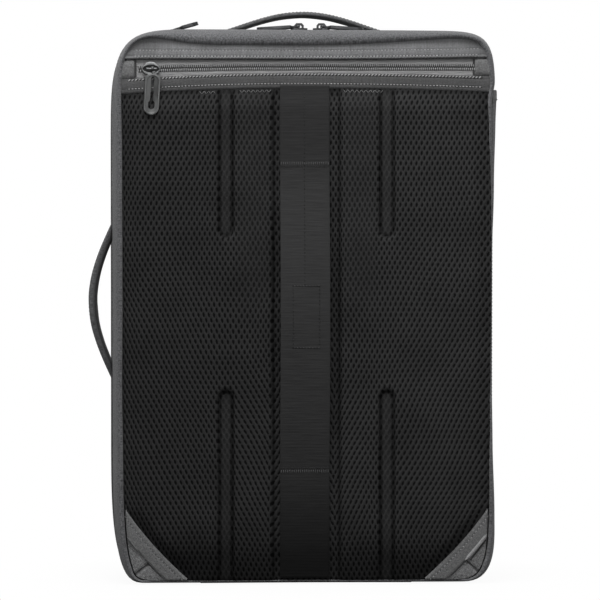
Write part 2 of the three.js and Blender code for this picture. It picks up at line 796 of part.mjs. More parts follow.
// Arched slider. Local axes: +X along the zip, +Z out of the cloth, the coil's top at z = 0
function archedSlider() {
  const outlineShape = new THREE.Shape();
  const [halfLong, halfWide] = [slider.length / 2, slider.width / 2];
  outlineShape.moveTo(-halfLong, -halfWide * 0.45);
  outlineShape.lineTo(-halfLong * 0.4, -halfWide);
  outlineShape.lineTo(halfLong * 0.7, -halfWide);
  outlineShape.lineTo(halfLong, -halfWide * 0.6);
  outlineShape.lineTo(halfLong, halfWide * 0.6);
  outlineShape.lineTo(halfLong * 0.7, halfWide);
  outlineShape.lineTo(-halfLong * 0.4, halfWide);
  outlineShape.lineTo(-halfLong, halfWide * 0.45);
  outlineShape.closePath();
  const plate = plateFrom(outlineShape, slider.plate);
  plate.translate(0, 0, gap + slider.plate / 2);
  const skirtAt = (side) => new THREE.BoxGeometry(slider.length * 0.5, slider.skirt, coil.height)
    .translate(0, side * (halfWide - slider.skirt / 2), gap + 0.2 - coil.height / 2);
  const arch = new THREE.Shape();
  const { archSpan, archRise, archBar } = slider;
  const archHalf = archSpan / 2;
  arch.moveTo(-archHalf, 0);
  arch.lineTo(-archHalf, archRise * 0.6);
  arch.lineTo(-archHalf * 0.6, archRise);
  arch.lineTo(archHalf * 0.6, archRise);
  arch.lineTo(archHalf, archRise * 0.6);
  arch.lineTo(archHalf, 0);
  arch.lineTo(archHalf - archBar, 0);
  arch.lineTo(archHalf - archBar, archRise * 0.55);
  arch.lineTo(archHalf * 0.45, archRise - archBar);
  arch.lineTo(-archHalf * 0.45, archRise - archBar);
  arch.lineTo(-archHalf + archBar, archRise * 0.55);
  arch.lineTo(-archHalf + archBar, 0);
  arch.closePath();
  const bridge = plateFrom(arch, slider.archWidth);
  bridge.rotateX(Math.PI / 2);
  bridge.translate(0, 0, gap + slider.plate - 0.1);
  const whole = toSolid(plate).add(toSolid(skirtAt(-1))).add(toSolid(skirtAt(1)))
    .add(toSolid(bridge));
  return toGeometry(whole);
}

// Flat pull with an eye at its pivot. Local: pivot at the origin, +X along the pull
function flatPull(length, slotLength) {
  const halfWide = pull.width / 2;
  const eyeHalf = pull.eyeWidth / 2;
  const endX = length;
  const shape = new THREE.Shape();
  const neckX = pull.eyeLength + 3;
  const neckHalf = eyeHalf + 1;
  shape.moveTo(-pull.eyeBar, -neckHalf);
  shape.lineTo(neckX - 2, -neckHalf);
  shape.lineTo(neckX, -halfWide);
  shape.lineTo(endX - halfWide, -halfWide);
  shape.absarc(endX - halfWide, 0, halfWide, -Math.PI / 2, Math.PI / 2, false);
  shape.lineTo(neckX, halfWide);
  shape.lineTo(neckX - 2, neckHalf);
  shape.lineTo(-pull.eyeBar, neckHalf);
  shape.closePath();
  shape.holes.push(slotHole(pull.eyeBar, pull.eyeBar + pull.eyeLength, eyeHalf));
  shape.holes.push(slotHole(
    endX - halfWide - slotLength, endX - halfWide, pull.slotWidth / 2,
  ));
  return toGeometry(toSolid(plateFrom(shape, pull.thickness)));
}

// Stow slider. Local axes as for the arched slider; a pin along the zip carries the pull
function crossbarSlider() {
  const { length, width, plate, frameLength, frameWidth, frameHole, frameHeight } = stowSlider;
  const roundPlate = (long, wide, thick, sides) => {
    const disc = new THREE.CylinderGeometry(wide / 2, wide / 2, thick, sides);
    disc.rotateX(Math.PI / 2);
    const half = (long - wide) / 2;
    const left = toSolid(disc.clone().translate(-half, 0, 0));
    const right = toSolid(disc.clone().translate(half, 0, 0));
    const middle = toSolid(new THREE.BoxGeometry(long - wide, wide, thick));
    return left.add(right).add(middle);
  };
  const body = roundPlate(length, width, plate, 16).translate([0, 0, gap + plate / 2]);
  const skirtAt = (side) => toSolid(
    new THREE.BoxGeometry(length * 0.4, stowSlider.skirt, coil.height)
      .translate(0, side * (width / 2 - stowSlider.skirt / 2), gap + 0.2 - coil.height / 2),
  );
  const frameZ = gap + plate + frameHeight / 2 - 0.05;
  const ring = roundPlate(frameLength, frameWidth, frameHeight, 16)
    .subtract(roundPlate(frameLength - 3, frameHole, frameHeight + 2, 14))
    .translate([0, 0, frameZ]);
  const pinZ = gap + plate + stowSlider.pinRise;
  const earHeight = stowSlider.pinRise + 1.1;
  const earAt = (side) => toSolid(
    new THREE.BoxGeometry(stowSlider.earLength, stowSlider.earWidth, earHeight).translate(
      side * (stowSlider.pinSpan / 2 + stowSlider.earLength / 2 - 0.2), 0,
      gap + plate + earHeight / 2 - 0.1,
    ),
  );
  const pin = new THREE.CylinderGeometry(
    stowSlider.pinRadius, stowSlider.pinRadius, stowSlider.pinSpan, 10,
  );
  pin.rotateZ(Math.PI / 2);
  pin.translate(0, 0, pinZ);
  const whole = body.add(skirtAt(-1)).add(skirtAt(1)).add(ring)
    .add(earAt(-1)).add(earAt(1)).add(toSolid(pin));
  return toGeometry(whole);
}

// Pull for the stow slider: a knuckle round the pin, a neck and a plate with a keyhole slot.
// Local: pivot at the origin, pin along X, the pull hanging to -Y, its face to +Z
function keyholePull() {
  const { width, length, thickness, neckWidth, neckLength, knuckle, slotWidth } = stowPull;
  const shape = barShape(neckLength, length, width / 2, 1.6);
  const blade = plateFrom(shape, thickness, 8);
  blade.rotateZ(-Math.PI / 2);
  const neck = new THREE.BoxGeometry(neckWidth, neckLength - 1, thickness)
    .translate(0, -(neckLength + 1.6) / 2, 0);
  const ring = new THREE.CylinderGeometry(knuckle, knuckle, neckWidth, 14);
  ring.rotateZ(Math.PI / 2);
  const boreRadius = stowSlider.pinRadius + stowPull.pinClearance;
  const bore = new THREE.CylinderGeometry(boreRadius, boreRadius, neckWidth * 3, 14);
  bore.rotateZ(Math.PI / 2);
  const holeY = -(length - stowPull.keyholeRise);
  const hole = new THREE.CylinderGeometry(
    stowPull.keyhole, stowPull.keyhole, thickness * 3, 12,
  );
  hole.rotateX(Math.PI / 2);
  hole.translate(0, holeY, 0);
  const slotTop = -neckLength - 2;
  const slot = new THREE.BoxGeometry(slotWidth, slotTop - holeY, thickness * 3)
    .translate(0, (slotTop + holeY) / 2, 0);
  const whole = toSolid(blade).add(toSolid(neck)).add(toSolid(ring)).subtract(toSolid(bore))
    .subtract(toSolid(hole)).subtract(toSolid(slot));
  return toGeometry(whole);
}

const colours = {
  heather: { color: 0x5c5c5e, roughness: 0.95, metalness: 0 },
  trim: { color: 0x535353, roughness: 0.9, metalness: 0 },
  mesh: { color: 0x1c1c1c, roughness: 0.95, metalness: 0 },
  webbing: { color: 0x262626, roughness: 0.8, metalness: 0 },
  coil: { color: 0x4a4a4a, roughness: 0.6, metalness: 0 },
  gunmetal: { color: 0x4c4e4e, roughness: 0.35, metalness: 1 },
};

const bag = new THREE.Group();
function piece(name, geometry, colour, place = {}, parent = bag) {
  const mesh = new THREE.Mesh(geometry, new THREE.MeshStandardMaterial(colours[colour]));
  mesh.name = name;
  mesh.position.copy(place.position ?? new THREE.Vector3());
  mesh.rotation.copy(place.rotation ?? new THREE.Euler());
  parent.add(mesh);
  return mesh;
}

piece('gusset', gusset(), 'heather');
piece('front_panel', frontPanel(), 'heather');
piece('pocket_inner_wall', pocketInnerWall(), 'heather');
piece('mesh_back_pad', paddedBack(), 'mesh');
piece('stow_flap', stowFlap(), 'trim');
piece('stow_lower_band', stowLowerBand(), 'trim');
piece('stow_zip_tape', stowZipTape(), 'trim');
piece('stow_zip_coil', stowZipCoil(), 'coil');
piece('stow_zip_stop_left', zipStopTab(-1), 'trim');
piece('stow_zip_stop_right', zipStopTab(1), 'trim');
piece('corner_patch_left', cornerPatch(-1), 'heather');
piece('corner_patch_right', cornerPatch(1), 'heather');
piece('corner_band_left', cornerBand(-1), 'trim');
piece('corner_band_right', cornerBand(1), 'trim');
piece('luggage_strap', luggageStrap(), 'webbing');
piece('top_handle', topHandleGeometry(), 'heather');
piece('side_handle', sideHandleGeometry(), 'heather');
piece('side_pocket', sidePocket(), 'heather');
piece('laptop_zip_tape', zipTapeGeometry(laptopZip), 'trim');
piece('laptop_zip_coil', zipCoilGeometry(laptopZip), 'coil');
piece('main_zip_tape', zipTapeGeometry(mainZip), 'trim');
piece('main_zip_coil', zipCoilGeometry(mainZip), 'coil');

// Sliders on the zips over the top, each with its pull hinged across the zip
const coilTopZ = topZ - coilInset + coil.height;
const pivotRise = gap + slider.plate + slider.pivotRise;
function topSlider(name, x, zip, facing, length, slotLength, tilt) {
  const station = new THREE.Group();
  station.position.set(x, zip.centreY, coilTopZ);
  station.rotation.z = facing < 0 ? Math.PI : 0;
  bag.add(station);
  piece(`${name}_slider`, archedSlider(), 'gunmetal', {}, station);
  piece(`${name}_pull`, flatPull(length, slotLength), 'gunmetal', {
    position: new THREE.Vector3(0, 0, pivotRise),
    rotation: new THREE.Euler(0, THREE.MathUtils.degToRad(tilt), 0),
  }, station);
}
const laptopPull = [pull.length, pull.slotLength, pull.restTilt];
topSlider('laptop_left', sliderPlaces.laptopLeftX, laptopZip, -1, ...laptopPull);
topSlider('laptop_right', sliderPlaces.laptopRightX, laptopZip, 1, ...laptopPull);
topSlider(
  'main', sliderPlaces.mainX, mainZip, 1,
  shortPull.length, shortPull.slotLength, shortPull.restTilt,
);

// Slider and pull of the stow zip, turned to face the wearer
const stow = new THREE.Group();
const stowCoilTop = stripBase + coil.height;
stow.position.set(
  sliderPlaces.stowX, backSeamY - stowCoilTop, edgeZ(edges.chain, sliderPlaces.stowX),
);
stow.rotation.x = Math.PI / 2;
bag.add(stow);
piece('stow_slider', crossbarSlider(), 'gunmetal', {}, stow);
piece('stow_pull', keyholePull(), 'gunmetal', {
  position: new THREE.Vector3(0, 0, gap + stowSlider.plate + stowSlider.pinRise),
  rotation: new THREE.Euler(-THREE.MathUtils.degToRad(stowPull.restTilt), 0, 0),
}, stow);

export default bag;
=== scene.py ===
# Convertible backpack seen from its padded back: cloth shell, mesh pad, zips, pulls and handles
import json
import math
from bisect import bisect_right

import bpy
from mathutils import Matrix, Vector, noise

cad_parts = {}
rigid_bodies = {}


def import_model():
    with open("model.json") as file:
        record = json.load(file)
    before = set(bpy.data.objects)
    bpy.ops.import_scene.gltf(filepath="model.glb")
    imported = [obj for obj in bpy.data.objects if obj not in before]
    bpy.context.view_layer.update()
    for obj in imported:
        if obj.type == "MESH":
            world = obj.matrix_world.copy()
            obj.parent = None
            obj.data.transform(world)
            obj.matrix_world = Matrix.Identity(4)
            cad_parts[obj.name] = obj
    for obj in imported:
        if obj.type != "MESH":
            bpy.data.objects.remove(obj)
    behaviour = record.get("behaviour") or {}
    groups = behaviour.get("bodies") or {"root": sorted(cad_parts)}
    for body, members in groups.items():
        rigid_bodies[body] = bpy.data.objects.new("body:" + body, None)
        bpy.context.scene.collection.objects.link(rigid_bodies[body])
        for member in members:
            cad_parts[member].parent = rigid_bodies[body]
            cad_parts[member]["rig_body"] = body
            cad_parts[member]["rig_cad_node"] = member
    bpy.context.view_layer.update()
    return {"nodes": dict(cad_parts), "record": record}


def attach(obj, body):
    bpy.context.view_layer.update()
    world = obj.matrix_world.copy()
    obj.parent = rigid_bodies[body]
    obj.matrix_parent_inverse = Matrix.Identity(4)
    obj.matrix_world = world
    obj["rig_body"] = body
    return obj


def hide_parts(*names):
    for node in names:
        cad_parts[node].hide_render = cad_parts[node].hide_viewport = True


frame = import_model()
nodes = frame["nodes"]
mm = 0.001
quarterTurn = math.pi / 2

# sizes of the whole bag, in millimetres, as in the CAD source
bag = {
    "width": 305, "height": 443, "middleZ": 221, "seamY": -54, "wall": 1.5,
    "padCentreX": 2.5, "stations": 380, "leastRim": 3.2,
}
corners = [  # how far each corner runs in and up, and how square it is, from the bottom right round
    {"size": (29.7, 47.6), "power": 2.96, "signs": (1, -1)},
    {"size": (82, 110), "power": 7.4, "signs": (1, 1)},
    {"size": (90, 110), "power": 5.5, "signs": (-1, 1)},
    {"size": (26.6, 110), "power": 3.2, "signs": (-1, -1)},
]
sideReach = {  # half the bag's width on each side, going up
    -1: [(0, 152.0), (110, 152.2), (443, 152.5)],
    1: [
        (0, 155.5), (60, 155.0), (110, 153.4), (180, 152.4), (385, 152.4), (402, 155.6),
        (443, 156.2),
    ],
}
topReach = [(-155, 443.9), (0, 443.9), (155, 443.3)]
rimWidth = {  # the rolled rim's width up each side, and along the top from left to right
    "left": [
        (0, 7.2), (60, 8.2), (90, 8.4), (154, 7.6), (226, 8.0), (346, 7.8), (374, 7.3),
        (390, 6.8), (405, 6.2), (425, 5.4), (443, 5.0),
    ],
    "right": [
        (0, 8.0), (34, 6.6), (60, 5.5), (90, 4.4), (130, 2.8), (178, 1.5), (226, 1.0), (300, 1.0),
        (314, 1.1), (330, 1.6), (346, 2.0), (362, 2.7), (374, 3.4), (385, 4.2), (397, 4.9),
        (410, 5.8), (425, 7.2), (443, 7.0),
    ],
    "top": [
        (-130, 4.0), (-114, 7.8), (-99, 11.4), (-72, 13.3), (0, 13.3), (32, 12.7),
        (54, 11.4), (88, 9.2), (110, 7.4), (133, 6.0),
    ],
    "bottom": 1.8, "cornerSwell": 3.6,
}
edgeReach = 120
edges = {  # drops below the bag's top at the left, middle and right
    "flapEdge": (24.2, 24, 22.6),
    "chain": (31.6, 29.8, 29.7),
    "bandTop": (38.4, 34.7, 36.2),
    "bandEdge": (50.2, 46.7, 48.6),
}


def mix(a, b, t):
    return a + (b - a) * t


def smooth(low, high, value):
    t = min(1.0, max(0.0, (value - low) / (high - low)))
    return t * t * (3 - 2 * t)


def fromTable(table, x):
    for (x0, y0), (x1, y1) in zip(table, table[1:]):
        if x <= x1:
            return mix(y0, y1, 0.5 * smooth(x0, x1, x) + 0.5 * max(0, (x - x0) / (x1 - x0)))
    return table[-1][1]


def ripple(x, y, z, size, seed=0.0):
    return noise.noise(Vector((x / size + seed, y / size - seed, z / size + 2 * seed)))


def squarer(value, power):  # bends a sine or cosine, and keeps its sign
    return math.copysign(abs(value) ** power, value)


def pick(*objects):
    bpy.ops.object.select_all(action="DESELECT")
    for item in objects:
        item.select_set(True)
    bpy.context.view_layer.objects.active = objects[0]


def added(operator, **settings):
    bpy.ops.object.select_all(action="DESELECT")
    operator(**settings)
    return bpy.context.object


def named(piece, name):
    piece.name = name
    piece.data.name = name
    return piece


def edited(piece, *steps):  # runs the steps in edit mode, from the whole mesh selected
    pick(piece)
    bpy.ops.object.mode_set(mode="EDIT")
    bpy.ops.mesh.select_all(action="SELECT")
    for step in steps:
        step()
    bpy.ops.object.mode_set(mode="OBJECT")


def modify(piece, kind, **settings):
    modifier = piece.modifiers.new(kind.lower(), kind)
    for name, value in settings.items():
        setattr(modifier, name, value)
    pick(piece)
    bpy.ops.object.modifier_apply(modifier=modifier.name)


def thicken(piece, thickness):  # thickness in millimetres, towards the inside
    modify(piece, "SOLIDIFY", thickness=thickness * mm, offset=-1)


def soften(piece, width, angle, segments=2):
    modify(
        piece, "BEVEL", width=width * mm, segments=segments, limit_method="ANGLE",
        angle_limit=math.radians(angle), harden_normals=False,
    )


def cut(piece, tool):
    modify(piece, "BOOLEAN", operation="DIFFERENCE", solver="EXACT", object=tool)
    bpy.data.objects.remove(tool)


def shadeSmooth(piece, angle):
    pick(piece)
    bpy.ops.object.shade_smooth_by_angle(angle=math.radians(angle))


def join(name, parts):
    pick(*parts)
    bpy.ops.object.join()
    bpy.ops.object.transform_apply(location=True, rotation=True, scale=True)
    return named(bpy.context.object, name)


def dress(piece, look, body, node=None):
    piece.data.materials.clear()
    piece.data.materials.append(looks[look])
    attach(piece, body)
    if node:
        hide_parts(node)
    return piece


def toBack(centre):
    return Vector((0, -1, 0))


def awayFromMiddle(centre):
    return Vector((centre.x / 30, 0, (centre.z - bag["middleZ"]) / 40))


def laidGrid(name, cells, place, outward, wrap):
    # a grid whose points are laid by place(u, v), which gives a point and its place on the cloth
    piece = named(added(
        bpy.ops.mesh.primitive_grid_add, x_subdivisions=cells[0], y_subdivisions=cells[1], size=1,
    ), name)
    mesh = piece.data
    onCloth = []
    for vertex in mesh.vertices:
        point, flat = place(vertex.co.x + 0.5, vertex.co.y + 0.5)
        vertex.co = Vector(point) * mm
        onCloth.append([value * mm for value in flat])
    layer = mesh.uv_layers[0]
    for loop in mesh.loops:
        layer.data[loop.index].uv = onCloth[loop.vertex_index]
    mesh.update()
    if outward and sum(
        face.normal.dot(outward(face.center / mm)) * face.area for face in mesh.polygons
    ) < 0:
        mesh.flip_normals()
    if wrap:
        edited(piece, lambda: bpy.ops.mesh.remove_doubles(threshold=0.02 * mm))
    return piece


def makeCloth(
    name, cells, place, look, node=None, wall=0, angle=60, outward=toBack, wrap=False,
    marks=None, bevel=0,
):
    piece = laidGrid(name, cells, place, outward, wrap)
    for label, measure in (marks or {}).items():
        values = [measure(vertex.co / mm) for vertex in piece.data.vertices]
        piece.data.attributes.new(label, "FLOAT", "POINT").data.foreach_set("value", values)
    if wall:
        thicken(piece, wall)
    if not outward:  # a tube has its ends closed
        edited(
            piece, lambda: bpy.ops.mesh.normals_make_consistent(inside=False),
            lambda: bpy.ops.mesh.select_all(action="DESELECT"),
            bpy.ops.mesh.select_non_manifold, bpy.ops.mesh.edge_face_add,
        )
    if bevel:
        soften(piece, bevel, 50)
    if angle:
        shadeSmooth(piece, angle)
    return dress(piece, look, "bag", node)


# the bag's outline, anticlockwise seen from the back, as evenly spaced stations
def cornerPoints(corner, steps=72):
    width, height = corner["size"]
    signX, signZ = corner["signs"]
    points = []
    for i in range(steps + 1):
        angle = quarterTurn * i / steps
        across = width * (1 - math.cos(angle) ** (2 / corner["power"]))
        up = height * (1 - math.sin(angle) ** (2 / corner["power"]))
        z = up if signZ < 0 else bag["height"] - up
        x = signX * (fromTable(sideReach[signX], z) - across)
        if signZ > 0:
            z += fromTable(topReach, x) - bag["height"]
        points.append((x, z))
    return points if signX * signZ > 0 else points[::-1]


def rimAt(x, z, nx, nz):
    side = fromTable(rimWidth["left" if x < 0 else "right"], z)
    if nz > 0:
        level = fromTable(rimWidth["top"], x)
    else:
        level = rimWidth["bottom"] + rimWidth["cornerSwell"] * (2 * nx * nz) ** 2
    return nx * nx * side + nz * nz * level


def runningLengths(points):
    lengths = [0.0]
    for a, b in zip(points, points[1:]):
        lengths.append(lengths[-1] + math.dist(a, b))
    return lengths


def stretchAt(lengths, s):  # which stretch of a line holds the length s, and how far along it
    k = min(len(lengths) - 2, bisect_right(lengths, s) - 1)
    return k, (s - lengths[k]) / max(1e-9, lengths[k + 1] - lengths[k])


def makeOutline(between=40):
    rough = []
    for corner in corners:
        points = cornerPoints(corner)
        if rough:
            last, first = rough[-1], points[0]
            for i in range(1, between):
                x, z = (mix(a, b, i / between) for a, b in zip(last, first))
                if abs(first[1] - last[1]) > 100:
                    side = -1 if x < 0 else 1
                    x = side * fromTable(sideReach[side], z)
                rough.append((x, z))
        rough += points
    rough += [(mix(rough[-1][0], rough[0][0], i / between), 0) for i in range(1, between + 1)]
    lengths = runningLengths(rough)
    stations = []
    count = bag["stations"]
    for i in range(count):
        s = lengths[-1] * i / count
        k, t = stretchAt(lengths, s)
        x, z = (mix(a, b, t) for a, b in zip(rough[k], rough[k + 1]))
        stations.append([x, z, 0, 0, 0, s])
    for i, station in enumerate(stations):
        before, after = stations[i - 2], stations[(i + 2) % count]
        along = Vector((after[0] - before[0], after[1] - before[1])).normalized()
        station[2], station[3] = along.y, -along.x
    rims = [rimAt(*station[:4]) for station in stations]
    for i, station in enumerate(stations):  # evens out the rim's width
        station[4] = sum(rims[(i + k) % count] for k in range(-3, 4)) / 7
    return stations, lengths[-1]


outline, outlineLength = makeOutline()


def stationOf(u):
    x, z, nx, nz, rim, s = outline[round(u * bag["stations"]) % bag["stations"]]
    return x, z, nx, nz, rim, s if u < 0.999 else outlineLength


def insetCurve(extra):  # the rim's inner edge, moved further in by extra
    return [
        (x - nx * (rim + extra), z - nz * (rim + extra)) for x, z, nx, nz, rim, _ in outline
    ]


def sidesOf(curve):
    return zip(curve, curve[1:] + curve[:1])


def crossings(curve, axis, value):  # where a curve crosses one x, axis 0, or one z, axis 1
    found = [0]
    for a, b in sidesOf(curve):
        if min(a[axis], b[axis]) <= value <= max(a[axis], b[axis]) and a[axis] != b[axis]:
            found.append(mix(a[1 - axis], b[1 - axis], (value - a[axis]) / (b[axis] - a[axis])))
    return found


def topOf(curve, x):
    return max(crossings(curve, 0, x))


def sideOf(curve, side, z):
    return side * max(side * x for x in crossings(curve, 1, z))


def edgeZ(name, x):
    left, middle, right = edges[name]
    u = (x - bag["padCentreX"]) / edgeReach
    return bag["height"] - middle - ((left if u < 0 else right) - middle) * u * u


def onBack(x, z, proud):
    return Vector((x, bag["seamY"] - proud, z))


print("outline laid:", len(outline), "stations")


# materials
def fill(tree, sockets, values):  # links a socket to another, or gives it a plain value
    for name, value in values.items():
        if isinstance(value, bpy.types.NodeSocket):
            tree.links.new(value, sockets[name])
        else:
            sockets[name].default_value = value


def addNode(tree, kind, inputs=None, **settings):
    node = tree.nodes.new(kind)
    for name, value in settings.items():
        setattr(node, name, value)
    fill(tree, node.inputs, inputs or {})
    return node


def newGroup(name, numbers, results):
    group = bpy.data.node_groups.new(name, "ShaderNodeTree")
    group.interface.new_socket(name="Vector", in_out="INPUT", socket_type="NodeSocketVector")
    for label, value in numbers.items():
        group.interface.new_socket(
            name=label, in_out="INPUT", socket_type="NodeSocketFloat",
        ).default_value = value
    for label in results:
        group.interface.new_socket(name=label, in_out="OUTPUT", socket_type="NodeSocketFloat")
    start, end = group.nodes.new("NodeGroupInput"), group.nodes.new("NodeGroupOutput")
    return group, start.outputs, end.inputs


def calc(tree, operation, a, b=None):
    inputs = {0: a} if b is None else {0: a, 1: b}
    return addNode(tree, "ShaderNodeMath", inputs, operation=operation).outputs[0]


def total(tree, found, *others):
    for other in others:
        found = calc(tree, "ADD", found, other)
    return found


def product(tree, found, *others):
    for other in others:
        found = calc(tree, "MULTIPLY", found, other)
    return found


def ramp(tree, value, low, high, outLow=0.0, outHigh=1.0):
    return addNode(
        tree, "ShaderNodeMapRange",
        {"Value": value, "From Min": low, "From Max": high, "To Min": outLow, "To Max": outHigh},
        interpolation_type="SMOOTHSTEP",
    ).outputs[0]


def clouds(tree, vector, scale, detail=2.0, roughness=0.5):
    place = addNode(
        tree, "ShaderNodeMapping", {"Vector": vector, "Scale": (*scale, 1.0)[:3]},
    ).outputs[0]
    return addNode(
        tree, "ShaderNodeTexNoise",
        {"Vector": place, "Scale": 1.0, "Detail": detail, "Roughness": roughness},
    ).outputs["Fac"]


def centred(tree, value):
    return calc(tree, "SUBTRACT", value, 0.5)


def axesOf(tree, vector):
    return addNode(tree, "ShaderNodeSeparateXYZ", {0: vector}).outputs


def mottleGroup(threadPitch=0.0009):
    # melange yarn: flecks of lighter and darker thread over a woven ground
    group, start, end = newGroup(
        "heather yarn", {"Fleck": 1.0, "Rib": 0.3, "Streak": 0.0}, ["Shade", "Height"],
    )
    place = start["Vector"]
    fine = clouds(group, place, (760, 760), 3.0, 0.65)
    across = clouds(group, place, (420, 1500))
    along = clouds(group, place, (1700, 380))
    wide = clouds(group, place, (26, 26), 3.0)
    upright = clouds(group, place, (780, 60))
    threads = total(group, product(group, across, 0.5), product(group, along, 0.5))
    yarn = total(group, product(group, threads, 1.15), product(group, fine, 0.75))
    fleck = product(group, calc(group, "SUBTRACT", yarn, 0.95), product(group, start["Fleck"], 2.2))
    cloud = product(group, centred(group, wide), 0.35)
    streak = product(group, centred(group, upright), start["Streak"])
    shade = total(group, fleck, cloud, streak, 1.0)
    warp, weft = (
        calc(group, "SINE", product(group, axis, 2 * math.pi / threadPitch))
        for axis in axesOf(group, place)[:2]
    )
    height = total(
        group, product(group, warp, weft, 0.35), product(group, warp, start["Rib"]),
        product(group, yarn, 1.4),
    )
    fill(group, end, {"Shade": calc(group, "MAXIMUM", shade, 0.15), "Height": height})
    return group


def webGroup():
    # narrow webbing: fine ribs across its length
    group, start, end = newGroup("woven ribs", {"Pitch": 0.0014, "Cross": 0.4}, ["Rib", "Height"])
    place = start["Vector"]
    across, along, _ = axesOf(group, place)
    turns = calc(group, "DIVIDE", 2 * math.pi, start["Pitch"])
    waver = product(group, clouds(group, place, (160, 500)), 1.6)
    rib = calc(group, "SINE", total(group, product(group, along, turns), waver))
    cross = calc(group, "SINE", product(group, across, product(group, turns, 1.7)))
    fill(group, end, {
        "Rib": total(group, product(group, rib, 0.5), 0.5),
        "Height": total(group, rib, product(group, cross, start["Cross"])),
    })
    return group


def meshGroup():
    # spacer mesh: long oval holes in staggered rows, leaning where the cloth is pulled askew
    group, start, end = newGroup(
        "spacer mesh", {"Column": 0.00425, "Row": 0.0081, "Lean": 0.0}, ["Thread", "Height"],
    )
    across, up, _ = axesOf(group, start["Vector"])
    u = calc(group, "DIVIDE", across, start["Column"])
    v = calc(group, "DIVIDE", up, start["Row"])

    def oval(shift):
        du, dv = (
            centred(group, calc(group, "FRACT", total(group, place, shift))) for place in (u, v)
        )
        du = product(group, total(group, du, product(group, dv, start["Lean"])), 3.8)
        dv = product(group, dv, 3.6)
        return calc(group, "SQRT", total(group, product(group, du, du), product(group, dv, dv)))

    ragged = clouds(group, start["Vector"], (900, 900))
    near = total(
        group, calc(group, "MINIMUM", oval(0.0), oval(0.5)),
        product(group, centred(group, ragged), 0.45),
    )
    fill(group, end, {
        "Thread": ramp(group, near, 0.5, 1.1),
        "Height": total(group, ramp(group, near, 0.3, 1.7), product(group, ragged, 0.25)),
    })
    return group


groups = {"heather": mottleGroup(), "web": webGroup(), "mesh": meshGroup()}


def clearedTree(owner):
    owner.use_nodes = True
    owner.node_tree.nodes.clear()
    return owner.node_tree


def newMaterial(name, coordinates):
    material = bpy.data.materials.new(name)
    tree = clearedTree(material)
    shader = addNode(tree, "ShaderNodeBsdfPrincipled")
    addNode(tree, "ShaderNodeOutputMaterial", {0: shader.outputs[0]})
    source = addNode(tree, "ShaderNodeTexCoord").outputs[coordinates]
    return material, tree, shader.inputs, source


def placedGroup(tree, group, inputs):
    return addNode(tree, "ShaderNodeGroup", inputs, node_tree=groups[group]).outputs


def attribute(tree, name):
    return addNode(tree, "ShaderNodeAttribute", attribute_name=name).outputs["Fac"]


def tinted(tree, shade, colour):
    return addNode(
        tree, "ShaderNodeVectorMath", {0: colour, "Scale": shade}, operation="SCALE",
    ).outputs[0]


def bumped(tree, height, distance, strength=1.0):
    return addNode(
        tree, "ShaderNodeBump", {"Height": height, "Distance": distance, "Strength": strength},
    ).outputs[0]


def clothMaterial(name, colour, fleck, streak=0.0, bump=0.00025, paintedShade=False, coordinates="UV"):
    material, tree, shader, source = newMaterial(name, coordinates)
    yarn = placedGroup(
        tree, "heather", {"Vector": source, "Fleck": fleck, "Rib": 0.3, "Streak": streak},
    )
    shade = yarn["Shade"]
    if paintedShade:  # painted shade: cloth pulled down by its stitches and cloth turned under are darkened
        shade = product(tree, shade, ramp(tree, attribute(tree, "PaintedShade"), 0.0, 1.0, 1.0, 0.25))
    fill(tree, shader, {
        "Base Color": tinted(tree, shade, colour), "Normal": bumped(tree, yarn["Height"], bump),
        "Roughness": 0.92, "Specular IOR Level": 0.25, "Sheen Weight": 0.2, "Sheen Roughness": 0.6,
    })
    return material


def meshMaterial():
    material, tree, shader, source = newMaterial("black air mesh", "UV")
    across, up, _ = axesOf(tree, source)
    # the cloth leans one way down the left side, the other way down the right, and not at the foot
    left = product(tree, ramp(tree, across, -0.03, -0.09), ramp(tree, up, 0.33, 0.2, -0.25, 0.5))
    right = product(tree, ramp(tree, across, 0.04, 0.11), ramp(tree, up, 0.36, 0.14, -0.15, -0.7))
    # beside the channel it is drawn into a herringbone, low down
    fromMiddle = calc(tree, "SUBTRACT", across, bag["padCentreX"] * mm)
    away = calc(tree, "ABSOLUTE", fromMiddle)
    drawn = product(
        tree, ramp(tree, away, 0.06, 0.045), ramp(tree, away, 0.0225, 0.0275, -0.9, 0.7),
        product(tree, calc(tree, "SIGN", fromMiddle), -1.0), ramp(tree, up, 0.2, 0.14),
    )
    lean = product(tree, total(tree, left, right, drawn), ramp(tree, up, 0.02, 0.05))
    holes = placedGroup(tree, "mesh", {"Vector": source, "Lean": lean})
    # holes close inside the slots, and thread glints are painted as a highlight between the channel
    # and the slots
    thread = calc(tree, "MAXIMUM", holes["Thread"], attribute(tree, "TightAndGlint"))
    wide = clouds(tree, source, (30, 30))
    shade = product(
        tree, total(tree, thread, 0.18), total(tree, product(tree, wide, 0.5), 0.6),
        # painted shade darkens the cloth towards the foot; painted light makes its right side
        # lighter and its left side darker
        ramp(tree, up, 0.0, 0.07, 0.5, 1.0), ramp(tree, across, -0.13, 0.13, 0.93, 1.17),
        # painted shade in the seams and slots, and under the band's edge
        ramp(tree, attribute(tree, "GrooveShade"), 0.0, 1.0, 1.0, 0.45),
    )
    fill(tree, shader, {
        "Base Color": tinted(tree, shade, (0.0325, 0.0325, 0.0328)),
        "Normal": bumped(tree, holes["Height"], 0.0004),
        "Specular IOR Level": 0.05, "Roughness": 0.7,
    })
    return material


